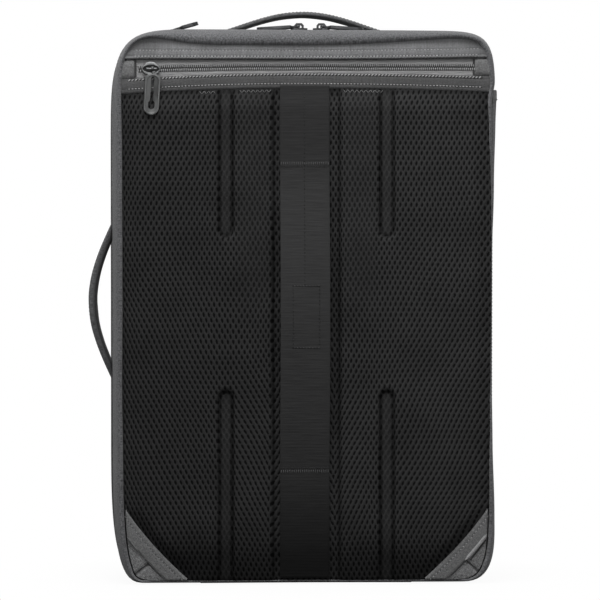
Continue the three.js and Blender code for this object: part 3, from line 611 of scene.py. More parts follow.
def webbingMaterial(name, colour, pitch, cross, bump, paintedEndShade):
    material, tree, shader, source = newMaterial(name, "UV")
    ribs = placedGroup(tree, "web", {"Vector": source, "Pitch": pitch, "Cross": cross})
    blotch = clouds(tree, source, (50, 1050))
    shade = total(
        tree, product(tree, ribs["Rib"], 0.08), total(tree, product(tree, blotch, 0.95), 0.475),
    )
    if paintedEndShade:  # painted shade: the strap is darkened towards both of its sewn ends, most at its foot
        up = axesOf(tree, source)[1]
        ends = product(
            tree, ramp(tree, up, 0.0, 0.15, 0.17, 1.0), ramp(tree, up, 0.3, 0.36, 1.0, 0.78),
        )
        shade = product(tree, shade, ends)
    fill(tree, shader, {
        "Base Color": tinted(tree, shade, colour),
        "Normal": bumped(tree, ribs["Height"], bump, 0.7), "Roughness": 0.62,
        "Specular IOR Level": 0.08 if paintedEndShade else 0.35, "Sheen Weight": 0.02 if paintedEndShade else 0.12,
    })
    return material


def threadMaterial(name, colour):
    material, tree, shader, source = newMaterial(name, "Object")
    uneven = clouds(tree, source, (500, 500, 500))
    fill(tree, shader, {
        "Base Color": tinted(tree, total(tree, product(tree, uneven, 0.9), 0.55), colour),
        "Roughness": 0.6, "Specular IOR Level": 0.4,
    })
    return material


def metalMaterial(name, colour, roughness):
    material, tree, shader, source = newMaterial(name, "Object")
    grain = clouds(tree, source, (900, 900, 900), 4.0)
    wear = clouds(tree, source, (140, 140, 140), 5.0)
    fill(tree, shader, {
        "Base Color": tinted(tree, total(tree, product(tree, wear, 0.4), 0.8), colour),
        "Roughness": ramp(tree, wear, 0.25, 0.8, roughness - 0.08, roughness + 0.14),
        "Normal": bumped(tree, grain, 0.00003, 0.5), "Metallic": 0.85,
    })
    return material


looks = {
    "shell": clothMaterial("grey heather cloth", (0.112, 0.113, 0.118), 1.5, bump=0.0001),
    "flap": clothMaterial("light heather cloth", (0.23, 0.232, 0.237), 0.4, 0.75, paintedShade=True),
    "band": clothMaterial("ribbed heather band", (0.084, 0.084, 0.085), 0.4, 0.7),
    "cornerBand": clothMaterial("corner band cloth", (0.16, 0.161, 0.162), 0.9),
    # painted highlight: the band's folded edge, lighter than the band's own cloth
    "ribbon": clothMaterial("folded ribbon painted highlight", (0.34, 0.342, 0.345), 0.5),
    "patch": clothMaterial("corner cloth", (0.19, 0.191, 0.193), 1.3),
    "handle": clothMaterial("handle cloth", (0.09, 0.091, 0.094), 1.4, paintedShade=True),
    "inner": clothMaterial("inner cloth", (0.08, 0.08, 0.082), 0.5, coordinates="Object"),
    "mesh": meshMaterial(),
    "tape": webbingMaterial("zip tape", (0.375, 0.375, 0.377), 0.0011, 1.0, 0.00018, False),
    "strap": webbingMaterial(
        "black webbing", (0.0385, 0.0385, 0.0389), 0.0012, 0.3, 0.00004, True,
    ),
    "coil": threadMaterial("zip coil", (0.3, 0.3, 0.301)),
    "thread": threadMaterial("grey thread", (0.3, 0.3, 0.302)),
    "zigzagThread": threadMaterial("zigzag thread", (0.2, 0.2, 0.201)),
    "brightThread": threadMaterial("light thread", (0.43, 0.43, 0.432)),
    # the black threads are also laid as painted shade in creases, gaps, hollows and between
    # stitches
    "darkThreadAndShade": threadMaterial("black thread and painted shade", (0.035, 0.035, 0.035)),
    "barThread": threadMaterial("bar tack thread", (0.085, 0.085, 0.0855)),
    "blackThreadAndShade": threadMaterial("deep black thread and painted shade", (0.012, 0.012, 0.012)),
    "gunmetal": metalMaterial("gunmetal", (0.112, 0.114, 0.114), 0.36),
    "slider": metalMaterial("worn gunmetal", (0.21, 0.213, 0.215), 0.38),
    "darkMetal": metalMaterial("dark gunmetal", (0.055, 0.056, 0.058), 0.34),
}
print("materials made:", len(looks))


# repeated small shapes are modelled once, then copied along a line
def seedCapsule(length, width, height):
    seed = added(bpy.ops.mesh.primitive_uv_sphere_add, segments=6, ring_count=4, radius=0.5)
    edited(
        seed,
        lambda: bpy.ops.transform.rotate(
            value=quarterTurn, orient_axis="Y", center_override=(0, 0, 0)
        ),
        lambda: bpy.ops.transform.resize(value=(length * mm, width * mm, height * mm)),
    )
    bpy.ops.object.shade_smooth()
    return seed


def copyAlong(name, size, places, look, node=None):
    seed = seedCapsule(*size)
    copies = []
    for place in places:
        copy = seed.copy()
        copy.data = seed.data.copy()
        copy.matrix_world = place
        bpy.context.collection.objects.link(copy)
        copies.append(copy)
    bpy.data.objects.remove(seed)
    return dress(join(name, copies), look, "bag", node)


def placement(point, along, normal, turn=0.0):
    along = along.normalized()
    side = normal.cross(along).normalized()
    normal = along.cross(side).normalized()
    axes = Matrix((along, side, normal)).transposed() @ Matrix.Rotation(turn, 3, "Z")
    return Matrix.Translation(point * mm) @ axes.to_4x4()


def everyPitch(line, pitch, start=0.0):
    # points along a line of (point, normal) pairs, one pitch apart
    lengths = runningLengths([point for point, _ in line])
    found = []
    s = start
    while s < lengths[-1]:
        k, t = stretchAt(lengths, s)
        (a, na), (b, nb) = line[k], line[k + 1]
        found.append((a.lerp(b, t), b - a, na.lerp(nb, t).normalized()))
        s += pitch
    return found


# hole is the size of the dark dashes between stitches, painted shade where the thread pulls the
# cloth down
stitch = {"size": (1.6, 0.85, 0.9), "pitch": 2.65, "hole": (1.0, 0.9, 0.6), "slim": (1.9, 0.5, 0.5)}


def stitchRow(line, pitch=stitch["pitch"], lean=0.0, start=0.0):
    return [placement(*spot, lean) for spot in everyPitch(line, pitch, start)]


def laidLine(count, spot):  # spot(t) gives a point, and the way that the cloth faces there
    return [spot(i / count) for i in range(count + 1)]


def backLine(count, spot):  # spot(t) gives x, z and how far the line stands out from the back
    return laidLine(count, lambda t: (onBack(*spot(t)), Vector((0, -1, 0))))


# cloth shell: sides, top and base in one, with the rolled rim and grooves for the two zips
zips = {"laptop": {"centreY": -26, "endZ": 400}, "main": {"centreY": 22, "endZ": 150}}
grooveDepth = 2.1
grooveSteps = [8, 6.6, 5.7, 5.2, 4.8, 4.3, 3]
rimSection = [  # share of the rim's width, extra inset, depth
    (0, 0, -40), (0, 0.1, -46), (0.05, 0.3, -51), (0.17, 0.5, -55.6), (0.36, 0.3, -59.2),
    (0.6, 0, -60.9), (0.83, 0, -60.6), (0.96, 0, -59.4), (1.0, 0, -57.6), (0.96, 0, -55.7),
    (0.85, 0, -54.3),
]


def splined(points, steps):
    dense = []
    for i in range(len(points) - 1):
        p0, p1 = points[max(0, i - 1)], points[i]
        p2, p3 = points[i + 1], points[min(len(points) - 1, i + 2)]
        for k in range(steps):
            t = k / steps
            dense.append(tuple(
                0.5 * (2 * b + (c - a) * t + (2 * a - 5 * b + 4 * c - d) * t * t
                       + (3 * b - a - 3 * c + d) * t ** 3)
                for a, b, c, d in zip(p0, p1, p2, p3)
            ))
    dense.append(points[-1])
    return dense


def grooveRows(zipper):
    steps = grooveSteps + [0] + [-step for step in reversed(grooveSteps)]
    return [zipper["centreY"] + step for step in steps]


sideRows = [46.2, 45.6, 44.6, 42, 38, 34] + grooveRows(zips["main"])
sideRows += [9, 4, -1, -6, -11, -15] + grooveRows(zips["laptop"]) + [-36, -38]
rimRows = splined(rimSection, 3)


def grooveInset(y, z):
    inset = 0.0
    for zipper in zips.values():
        distance = abs(y - zipper["centreY"])
        if distance < 8.5:
            opened = smooth(zipper["endZ"] - 3, zipper["endZ"] + 5, z)
            lip = -0.45 * smooth(8.2, 6, distance) * smooth(5.0, 5.4, distance)
            inset += (lip + grooveDepth * smooth(5.3, 4.5, distance)) * opened
    return inset


def shellPoint(u, v):
    x, z, nx, nz, rim, s = stationOf(u)
    row = round(v * (len(sideRows) + len(rimRows) - 1))
    if row < len(sideRows):
        y = sideRows[row]
        inset = grooveInset(y, z)
        seam = smooth(46.5, 43, y) * smooth(-54, -42, y)
        sag = (1 - z / bag["height"]) * 0.6
        inset += 0.5 * seam * (0.9 + ripple(x, y * 1.4, z, 46) * (1 + sag)) if 20 < z else 0
        inset += 1.2 * smooth(45.0, 46.4, y)
    else:
        share, extra, y = rimRows[row - len(sideRows)]
        roll = mix(0.42, 1, smooth(1.2, 3.6, rim))
        inset = share * max(rim, bag["leastRim"]) + extra
        y = bag["seamY"] + (y - bag["seamY"]) * (roll if y < bag["seamY"] else 1)
        if rim > 4:
            wave = ripple(x, 0, z, 34, 3.0) * 0.5 + ripple(x, 0, z, 13, 7.0) * 0.16
            y += wave * smooth(-46, -58, y)
    return (x - nx * inset, y, z - nz * inset), (s, 60 - y + inset * 0.9)


shell = makeCloth(
    "cloth_shell", (bag["stations"], len(sideRows) + len(rimRows) - 1), shellPoint, "shell",
    "gusset", bag["wall"], outward=awayFromMiddle, wrap=True,
)
print("shell made")

nodes["pocket_inner_wall"].data.materials.clear()
nodes["pocket_inner_wall"].data.materials.append(looks["inner"])


# front panel: a crowned cloth face whose square grid is eased into the bag's outline
front = {"startY": 46.2, "depth": 14.6, "edge": 15, "crown": 3.8, "cells": 84, "wall": 2.4}


def cornerArc(signX, signZ):  # how far round the outline a corner of the square goes
    x, z = signX * (bag["width"] / 2 - 10), bag["middleZ"] + signZ * 210
    return min(outline, key=lambda station: (station[0] - x) ** 2 + (station[1] - z) ** 2)[5]


arcs = [cornerArc(*signs) for signs in ((1, -1), (1, 1), (-1, 1), (-1, -1))]


def rimPoint(a, b):
    # the outline's point that a point on the edge of the unit square goes to
    if a >= abs(b):
        k, t = 0, (b / max(a, 1e-9) + 1) / 2
    elif b >= abs(a):
        k, t = 1, (1 - a / max(b, 1e-9)) / 2
    elif -a >= abs(b):
        k, t = 2, (1 - b / max(-a, 1e-9)) / 2
    else:
        k, t = 3, (a / max(-b, 1e-9) + 1) / 2
    start, end = arcs[k], arcs[(k + 1) % 4]
    if end < start:
        end += outlineLength
    place = (mix(start, end, t) / outlineLength % 1) * len(outline)
    p, q = outline[int(place) % len(outline)], outline[(int(place) + 1) % len(outline)]
    return [mix(one, other, place % 1) for one, other in zip(p[:4], q[:4])]


def frontPoint(u, v):
    a, b = 2 * u - 1, 2 * v - 1
    rimX, rimZ, nx, nz = rimPoint(a, b)
    share = 1 - (1 - max(abs(a), abs(b))) ** 1.35
    middleZ = bag["height"] / 2
    x, z = rimX * share, middleZ + (rimZ - middleZ) * share
    inset = (1 - share) * bag["width"] / 2
    t = min(1, inset / front["edge"])
    y = front["startY"] + front["depth"] * math.sqrt(max(0, 1 - (1 - t) ** 2))
    y += front["crown"] * (1 - share * share)
    calm = smooth(4, 40, inset)
    y += calm * (ripple(x, 0, z, 60, 5.0) * 1.5 + ripple(x, 0, z * 0.6, 24, 9.0) * 0.45)
    pull = 1.2 * (1 - smooth(0, 1.5, inset))
    x -= nx * pull
    z -= nz * pull
    over = max(0, front["startY"] + front["depth"] - y)  # the cloth's own length round the edge
    return (x, y, z), (x + nx * over, z + nz * over)


panel = makeCloth(
    "front_cloth", (front["cells"], front["cells"]), frontPoint, "shell",
    "front_panel", front["wall"],
    outward=lambda centre: Vector((centre.x / 100, 1, (centre.z - bag["middleZ"]) / 150)),
)

piping = {"radius": 1.7, "y": 46.2, "inset": 0.5}


def pipingPoint(u, v):
    x, z, nx, nz, _, s = stationOf(u)
    angle = 2 * math.pi * v
    out = piping["radius"] * math.sin(angle) - piping["inset"]
    y = piping["y"] + piping["radius"] * math.cos(angle)
    return (x + nx * out, y, z + nz * out), (s, piping["radius"] * angle)


makeCloth(
    "seam_piping", (bag["stations"], 10), pipingPoint, "band", angle=80,
    outward=awayFromMiddle, wrap=True,
)
print("front panel made")


# mesh back: a quilted pad with a wide channel for the strap and four slots pressed in
pad = {
    "height": 9.2, "edge": 3.6, "baseZ": 1.3, "tuck": 5, "sideSlope": 15, "baseSlope": 34,
    "topSlope": 17, "channelHalf": 26.8, "channelDepth": 4.2, "channelWall": 5.0,
    "slotAt": 64.4, "slotHalf": 5.4, "slotDepth": 1.7, "seamDepth": 2.6, "seamHalf": 1.9,
    "upperSlot": 278, "lowerSlot": 154, "cells": (156, 176), "wall": 1.2,
    "evenReach": 26.5, "evenSteps": 12, "fieldReach": 62, "fieldSteps": 44, "edgeSteps": 22,
}
patch = {"rise": 61.5, "run": 61.4, "bow": 3.2, "baseZ": 3.1}
rimEdge = insetCurve(0.3)
edgeSpan = bag["width"] / 2 - 7.4  # from the middle to the rim, as the corner patches need it


def bowed(side, t):
    return side * patch["bow"] * 4 * t * (1 - t)


def patchEdgeX(side, z):
    t = min(1, max(0, (z - patch["baseZ"]) / (patch["rise"] - patch["baseZ"])))
    top = sideOf(rimEdge, side, patch["rise"])
    base = bag["padCentreX"] + side * (edgeSpan - patch["run"] + 10)
    return mix(base, top, t) + bowed(side, t)


def padSide(side, z):
    atRim = sideOf(rimEdge, side, z)
    atPatch = patchEdgeX(side, z) + side * 1.2
    return atPatch if z < patch["rise"] and abs(atPatch) < abs(atRim) else atRim


def fromSlotMiddle(x, z):
    endGap = max(0, min(pad["upperSlot"] - z, z - pad["lowerSlot"]) + pad["slotHalf"])
    return math.hypot(abs(x - bag["padCentreX"]) - pad["slotAt"], endGap)


def padProud(x, z, leftX, rightX):
    across = abs(x - bag["padCentreX"])
    edge = min(x - leftX, rightX - x)
    rise = smooth(-2, pad["sideSlope"], edge) ** 0.8
    rise *= smooth(-4, pad["baseSlope"], z - 3) ** 0.7
    rise *= smooth(-6, pad["topSlope"], edgeZ("bandEdge", x) - z) ** 0.9
    proud = pad["edge"] + (pad["height"] - pad["edge"]) * rise - 1.2 * smooth(4, 1, z)
    half, wallWidth = pad["channelHalf"], pad["channelWall"]
    channel = 1 - smooth(half - wallWidth * 0.7, half + wallWidth * 0.3, across)
    proud -= pad["channelDepth"] * channel * min(1, rise * 1.5)
    # each channel and slot is pressed in along a sewn seam on both of its sides
    seam = smooth(pad["seamHalf"], 0, abs(across - half)) * 0.75
    radial = fromSlotMiddle(x, z)
    slotSeam = smooth(pad["seamHalf"], 0, abs(radial - pad["slotHalf"]))
    slotFloor = smooth(pad["slotHalf"] + 1.0, pad["slotHalf"] - 2.0, radial)
    swell = 0.8 * smooth(20, 7, abs(across - pad["slotAt"])) * (1 - slotFloor)
    pressed = pad["seamDepth"] * max(seam, slotSeam) + pad["slotDepth"] * slotFloor - swell
    proud -= pressed * min(1, rise * 1.5)
    return proud + (ripple(x, 0, z, 42, 11.0) * 0.7 + ripple(x, 0, z, 17, 4.0) * 0.2) * rise


# columns of the pad: even ones over the channel and the field, then shares of the way to its edge
padOffsets = [pad["evenReach"] * i / pad["evenSteps"] for i in range(pad["evenSteps"] + 1)]
padOffsets += [
    pad["evenReach"] + pad["fieldReach"] * i / pad["fieldSteps"]
    for i in range(1, pad["fieldSteps"] + 1)
]
padShares = [1 - (1 - i / pad["edgeSteps"]) ** 1.15 for i in range(1, pad["edgeSteps"] + 1)]
padSides = {}


def padPoint(u, v):
    columns, steps = pad["cells"]
    k = round(u * columns) - columns // 2
    side = -1 if k < 0 else 1
    step = round(v * steps)
    centre = bag["padCentreX"]
    z = mix(pad["baseZ"], edgeZ("bandEdge", centre + side * 60) + pad["tuck"], step / steps)
    if step not in padSides:
        padSides[step] = (padSide(-1, z), padSide(1, z))
    leftX, rightX = padSides[step]
    if abs(k) < len(padOffsets):
        x = centre + side * padOffsets[abs(k)]
    else:
        last = centre + side * padOffsets[-1]
        x = mix(last, leftX if side < 0 else rightX, padShares[abs(k) - len(padOffsets)])
    z += (edgeZ("bandEdge", x) - edgeZ("bandEdge", centre)) * (step / steps) ** 3
    proud = padProud(x, z, leftX, rightX)
    if z > edgeZ("bandEdge", x) + 0.5:
        proud = min(proud, 1.0)
    acrossCloth = x + proud * 0.5 + ripple(x, 0, z, 60, 2.0) * 2.0
    return onBack(x, z, proud), (acrossCloth, z + ripple(x, 0, z, 70, 8.0) * 2.5)


def grooveShadeAt(point):  # painted shade: how dark the cloth is made where it is drawn into a seam or slot, and under the band's edge
    x, z = point.x, point.z
    across = abs(x - bag["padCentreX"])
    slot = smooth(2.6, 0.4, abs(fromSlotMiddle(x, z) - pad["slotHalf"] + 0.3))
    channel = smooth(2.4, 0.4, abs(across - pad["channelHalf"] + 0.6)) * 0.9
    underBand = smooth(5, 0.5, edgeZ("bandEdge", x) - z) * 0.75
    return max(slot, channel, underBand)


def tightAndGlintAt(point):  # the cloth inside each slot is drawn tight, so its holes close; higher up, between the channel and the slots, a painted highlight of thread glints lightens it
    across = abs(point.x - bag["padCentreX"])
    between = smooth(27, 34, across) * smooth(60, 50, across) * smooth(200, 250, point.z)
    inside = smooth(
        pad["slotHalf"] - 0.6, pad["slotHalf"] - 2.4, fromSlotMiddle(point.x, point.z),
    )
    return max(0.58 * inside, 0.25 * between)


backPad = makeCloth(
    "mesh_pad", pad["cells"], padPoint, "mesh", "mesh_back_pad", pad["wall"], 70,
    marks={"GrooveShade": grooveShadeAt, "TightAndGlint": tightAndGlintAt},
)
print("mesh back made")


# luggage strap: webbing sewn down at both ends and bowed out over the channel between
strap = {
    "width": 39.6, "thickness": 1.7, "centreX": 1.2, "top": 336, "bottom": 90, "bow": 10.4,
    "floor": 4.9, "from": 4.6, "to": 398.5, "crown": 0.25, "tackPitch": 1.7, "besideTack": 2.4,
}
strapBox = {"left": -8.6, "right": 12.4, "top": 238.4, "bottom": 189, "seamX": 0.8}


def strapProud(z):
    t = (z - strap["bottom"]) / (strap["top"] - strap["bottom"])
    lift = strap["bow"] * math.sin(math.pi * t) ** 1.5 if 0 < t < 1 else 0
    sunk = smooth(34, 3, z) * 1.3 + smooth(380, 397, z) * 1.6
    return strap["floor"] + lift - sunk + strap["thickness"]


def strapPoint(u, v):
    z = mix(strap["from"], strap["to"], v)
    x = strap["centreX"] + (u - 0.5) * strap["width"]
    crown = strap["crown"] * (1 - (2 * u - 1) ** 2) + ripple(x, 0, z, 50, 6.0) * 0.25
    return onBack(x, z, strapProud(z) + crown), (x, z)


def strapRow(x0, z0, x1, z1, *row, **start):
    def spot(t):
        z = mix(z0, z1, t)
        return mix(x0, x1, t), z, strapProud(z) + strap["crown"] + 0.1

    return stitchRow(backLine(24, spot), *row, **start)


makeCloth(
    "luggage_web", (16, 200), strapPoint, "strap", "luggage_strap",
    strap["thickness"], 40, bevel=0.35,
)
strapRows = {"tacks": [], "seamsAndShade": [], "box": [], "holes": []}
tackLeft = strap["centreX"] - strap["width"] / 2 + 1
tackRight = strap["centreX"] + strap["width"] / 2 - 1
for z, inward in ((strap["top"], -1), (strap["bottom"], 1)):
    strapRows["tacks"] += strapRow(tackLeft, z, tackRight, z, strap["tackPitch"], quarterTurn)
    # beside each bar tack, a row of black dashes paints the shadow under it
    z += inward * strap["besideTack"]
    strapRows["seamsAndShade"] += strapRow(tackLeft, z, tackRight, z, 1.9)
for z in (strapBox["top"], strapBox["bottom"]):
    strapRows["box"] += strapRow(strapBox["left"], z, strapBox["right"], z, 2.4, start=1.2)
    # dark dashes between the box stitches: painted shade
    strapRows["holes"] += strapRow(strapBox["left"], z, strapBox["right"], z, 2.4)
for x in (strapBox["left"], strapBox["right"]):
    strapRows["seamsAndShade"] += strapRow(x, strapBox["top"], x, strapBox["bottom"], 2.9)
seamX = strapBox["seamX"]
strapRows["seamsAndShade"] += strapRow(seamX, strap["to"] - 6, seamX, strapBox["top"], 3.2)
copyAlong("strap_bar_tacks", (2.8, 0.7, 0.6), strapRows["tacks"], "barThread")
copyAlong("strap_stitches_and_shade", (1.4, 0.8, 0.5), strapRows["seamsAndShade"], "blackThreadAndShade")
copyAlong("strap_box_stitches", (1.1, 0.6, 0.5), strapRows["box"], "barThread")
copyAlong("strap_box_gap_shade", (1.2, 1.3, 0.4), strapRows["holes"], "blackThreadAndShade")
print("strap made")


# stow zip across the top: flap, tape, coil and lower band, each following the curved edges
underRoll = insetCurve(-2.6)
flap = {"thickness": 1.4, "edge": 6.1, "lean": 2.6, "cells": (130, 26), "rowDrops": (2.6, 7.4)}


def flapLow(x):
    return edgeZ("flapEdge", x) + ripple(x, 0, 0, 40, 1.0) * 0.5


def flapSurface(x, z):
    height = z - flapLow(x)
    proud = flap["edge"] - flap["lean"] * min(1.15, max(0, height) / 12) ** 0.8
    proud -= 0.8 * smooth(0.7, 0, height)
    for drop in flap["rowDrops"]:
        proud -= 0.45 * smooth(1.4, 0, abs(height - drop))
    return proud + ripple(x, 0, z, 21, 5.0) * 0.3


def flapPoint(u, v):
    leftX, rightX = (
        sideOf(underRoll, side, edgeZ("flapEdge", side * edgeSpan) + 1.5) for side in (-1, 1)
    )
    eased = math.sin((u - 0.5) * math.pi) * 0.5 + 0.5
    x = mix(leftX, rightX, mix(u, eased, 0.6))
    low = flapLow(x)
    z = mix(low, max(low + 0.4, topOf(underRoll, x)), v ** 0.9)
    return onBack(x, z, flapSurface(x, z)), (x, z)


def flapPaintedShade(point):  # painted shade: the cloth is darkened under its rows, at its ends and along its lower edge
    height = point.z - edgeZ("flapEdge", point.x)
    ends = 0.46 * smooth(-96, -124, point.x) + 0.5 * smooth(114, 140, point.x)
    return max(0.36 * smooth(9.4, 7.8, height), ends, 0.85 * smooth(1.7, 0.9, height))


stowFlap = makeCloth(
    "stow_flap_cloth", flap["cells"], flapPoint, "flap", "stow_flap",
    flap["thickness"], marks={"PaintedShade": flapPaintedShade},
)

band = {"thickness": 1.5, "proud": 4.6, "cells": (120, 18), "rowRises": (3.6, 10.4)}


def bandSurface(x, z):
    fromLow = z - edgeZ("bandEdge", x) + 0.2
    fromHigh = edgeZ("bandTop", x) + 0.4 - z
    proud = band["proud"] - 1.2 * smooth(0.9, 0, fromHigh) - 1.0 * smooth(1.0, 0, fromLow)
    proud += 0.4 * smooth(0, 5, fromLow) * smooth(0, 5, fromHigh)
    for rise in band["rowRises"]:
        proud -= 0.25 * smooth(1.3, 0, abs(fromLow - rise))
    return proud + ripple(x, 0, z, 24, 2.0) * 0.3


def bandPoint(u, v):
    level = edgeZ("bandEdge", mix(-edgeSpan, edgeSpan, u)) + 6
    x = mix(sideOf(underRoll, -1, level), sideOf(underRoll, 1, level), u)
    z = mix(edgeZ("bandEdge", x) - 0.2, edgeZ("bandTop", x) + 0.4, v)
    return onBack(x, z, bandSurface(x, z)), (x, z)


lowerBand = makeCloth(
    "stow_band_cloth", band["cells"], bandPoint, "band", "stow_lower_band",
    band["thickness"],
)


def tapePoint(u, v):
    level = edgeZ("chain", mix(-edgeSpan, edgeSpan, u))
    x = mix(sideOf(rimEdge, -1, level) + 3, sideOf(rimEdge, 1, level) - 3, u)
    z = mix(edgeZ("bandTop", x) - 2.6, edgeZ("flapEdge", x) + 2.6, v)
    fromChain = z - edgeZ("chain", x)
    # the tape swells a little on each side of the chain and dips to its sewn edges
    swell = 0.6 if fromChain > 0 else 0.25
    proud = 3.3 + swell * smooth(7.5, 4.6, abs(fromChain)) * smooth(1.6, 3.0, abs(fromChain))
    return onBack(x, z, proud - 1.3 * smooth(3.6, 6.0, fromChain)), (x, z)


makeCloth("stow_tape", (110, 20), tapePoint, "tape", "stow_zip_tape", 0.6)

teeth = {
    "pitch": 1.65, "size": (2.5, 1.05, 0.9), "offset": 1.5, "proud": 4.0, "cordWidth": 5.0,
    "cordProud": 3.75,
}
stopX = {"left": -131.5, "right": 138.4}
rowEnds = {"flap": (-134, 140), "band": (-139, 143)}


def chainPoint(u, v):
    x = mix(stopX["left"], stopX["right"], u)
    off = (v - 0.5) * teeth["cordWidth"]
    return onBack(x, edgeZ("chain", x) + off, teeth["cordProud"]), (x, off)


def acrossLine(heightOf, surface, lift, leftX, rightX, count=140):
    # a line across the back, lying at a height on one of the cloths
    def spot(t):
        x = mix(leftX, rightX, t)
        z = heightOf(x)
        return x, z, surface(x, z) + lift

    return backLine(count, spot)


def sewnLine(cloth, edge, rise, lift=0.1, leftX=None):
    start, end = rowEnds[cloth]
    surface = flapSurface if cloth == "flap" else bandSurface
    return acrossLine(lambda x: edgeZ(edge, x) + rise, surface, lift, leftX or start, end)


# a dark cord under the teeth, also painted shade where it shows between them
makeCloth(
    "stow_chain_cord_and_shade", (110, 2), chainPoint, "darkThreadAndShade", wall=0.3, angle=0,
)
stowTeeth = []
for side in (-1, 1):
    line = acrossLine(
        lambda x: edgeZ("chain", x) + side * teeth["offset"] + ripple(x, 0, 0, 30) * 0.2,
        lambda x, z: teeth["proud"], 0, stopX["left"], stopX["right"],
    )
    shift = 0 if side < 0 else teeth["pitch"] / 2
    stowTeeth += stitchRow(line, teeth["pitch"], quarterTurn, shift)
copyAlong("stow_teeth", teeth["size"], stowTeeth, "coil", "stow_zip_coil")

lowDrop, highDrop = flap["rowDrops"]
upperRow = stitchRow(sewnLine("flap", "flapEdge", highDrop, leftX=-133))
stowStitches = stitchRow(sewnLine("flap", "flapEdge", lowDrop))
stowStitches += stitchRow(sewnLine("band", "bandEdge", band["rowRises"][0]))
# dark dashes between the stitches: painted shade where the thread pulls the cloth down
beside = Matrix.Translation((stitch["pitch"] / 2 * mm, 0, -0.1 * mm))
stitchGapShade = [place @ beside for place in stowStitches]
whip = {"pitch": 2.7, "lean": 0.7}
whipLine = sewnLine("band", "bandTop", -1.2, lift=0.15)
whipped = stitchRow(whipLine, whip["pitch"], whip["lean"])
# dark dashes between the whip stitches: painted shade
whipGapShade = stitchRow(whipLine, whip["pitch"], whip["lean"], whip["pitch"] / 2)
# dark stitches along the flap's edge, which also paint the shadow under it
edgeRow = stitchRow(sewnLine("flap", "flapEdge", 0.7), lean=0.6)
for name, size, places, look in (
    ("flap_upper_stitches", (1.6, 0.75, 0.8), upperRow, "brightThread"),
    ("stow_stitches", stitch["size"], stowStitches, "brightThread"),
    ("stow_stitch_gap_shade", stitch["hole"], stitchGapShade, "darkThreadAndShade"),
    ("band_whip_stitches", (2.5, 1.0, 0.9), whipped, "brightThread"),
    ("band_whip_gap_shade", (2.7, 1.1, 0.6), whipGapShade, "darkThreadAndShade"),
    ("flap_edge_stitches_and_shade", (2.6, 1.2, 1.0), edgeRow, "darkThreadAndShade"),
):
    copyAlong(name, size, places, look)

zigzag = []
padLeft, padRight = padSide(-1, 380), padSide(1, 380)
for fromX, toX in ((-82, -70), (-50, -26), (33, 64)):
    line = acrossLine(
        lambda x: edgeZ("bandEdge", x) - 2.2, lambda x, z: padProud(x, z, padLeft, padRight), 0.35,
        fromX, toX, 40,
    )
    for i, spot in enumerate(everyPitch(line, 1.8)):
        zigzag.append(placement(*spot, 0.9 if i % 2 else -0.9))
copyAlong("mesh_edge_zigzag", (2.9, 0.5, 0.45), zigzag, "zigzagThread")

stopTab = {"thickness": 1.4, "proud": 5.8, "gap": 1.7, "gapShadeProud": 4.1}


def makeStopTab(word, side, innerX):
    outerX = sideOf(rimEdge, side, edgeZ("chain", side * 140)) + side * 2.5

    def tabPoint(u, v):
        x = mix(innerX, outerX, u)
        z = mix(edgeZ("bandTop", x) + 0.5, edgeZ("flapEdge", x) - 0.8, v)
        z += ripple(x, 0, 0, 5, 2.0) * 0.3
        proud = stopTab["proud"] - 1.6 * (2 * abs(v - 0.5)) ** 4
        proud += 0.5 * smooth(0.3, 0.12, u) - 1.3 * smooth(0.1, 0, u)  # its folded inner edge
        return onBack(x, z, proud), (x, z)

    # a dark sheet beside the tab's folded inner edge: painted shade in the gap
    def gapShadePoint(u, v):
        x = innerX - side * mix(-1.5, stopTab["gap"], u)
        z = mix(edgeZ("bandTop", x) + 0.9, edgeZ("flapEdge", x) - 0.4, v)
        return onBack(x, z, stopTab["gapShadeProud"]), (x, z)

    name = f"stow_stop_{word}"
    makeCloth(
        name, (12, 14), tabPoint, "cornerBand", f"stow_zip_stop_{word}",
        stopTab["thickness"],
    )
    makeCloth(f"{name}_gap", (4, 10), gapShadePoint, "darkThreadAndShade", wall=0.3, angle=0)


makeStopTab("left", -1, stopX["left"] - 3.3)
makeStopTab("right", 1, stopX["right"] - 0.7)
print("stow zip made")


# bottom corners: a cloth patch, and a folded band along its slanted edge
corner = {
    "thickness": 1.4, "proud": 4.6, "bandWidth": 12.7, "bandProud": 5.9, "stitchIn": 3.8,
    "stitchPitch": 3.1, "stitchRun": (3, 72), "seamAt": {-1: 29, 1: 31.5},
    "ribbon": {-1: (42, 57, 1.2), 1: (31, 59, 2.7)},
}
cornerRim = insetCurve(1.1)


def cornerFrame(side):
    low = Vector((patchEdgeX(side, patch["baseZ"] + 0.5), patch["baseZ"] + 0.5))
    high = Vector((patchEdgeX(side, patch["rise"] - 2), patch["rise"] - 2))
    along = (high - low).normalized()
    return low, (high - low).length, along, Vector((along.y, -along.x)) * side


cornerFrames = {side: cornerFrame(side) for side in (-1, 1)}


def cornerPoint(side, s, d):
    # a point s along the slanted edge and d in from it
    low, length, along, away = cornerFrames[side]
    point = low + along * s + away * d
    point.x += bowed(side, s / length)
    return point


def reachToRim(side, s):
    # how far the rim's inner edge lies from the slanted edge
    point, away = cornerPoint(side, s, 0), cornerFrames[side][3]
    reach = 60.0
    for (x0, z0), (x1, z1) in sidesOf(cornerRim):
        edge = Vector((x1 - x0, z1 - z0))
        cross = away.x * edge.y - away.y * edge.x
        if z0 > 120 or abs(cross) < 1e-9:
            continue
        gap = Vector((x0, z0)) - point
        t = (gap.x * edge.y - gap.y * edge.x) / cross
        k = (gap.x * away.y - gap.y * away.x) / cross
        if t > 0 and -0.01 <= k <= 1.01:
            reach = min(reach, t)
    return reach


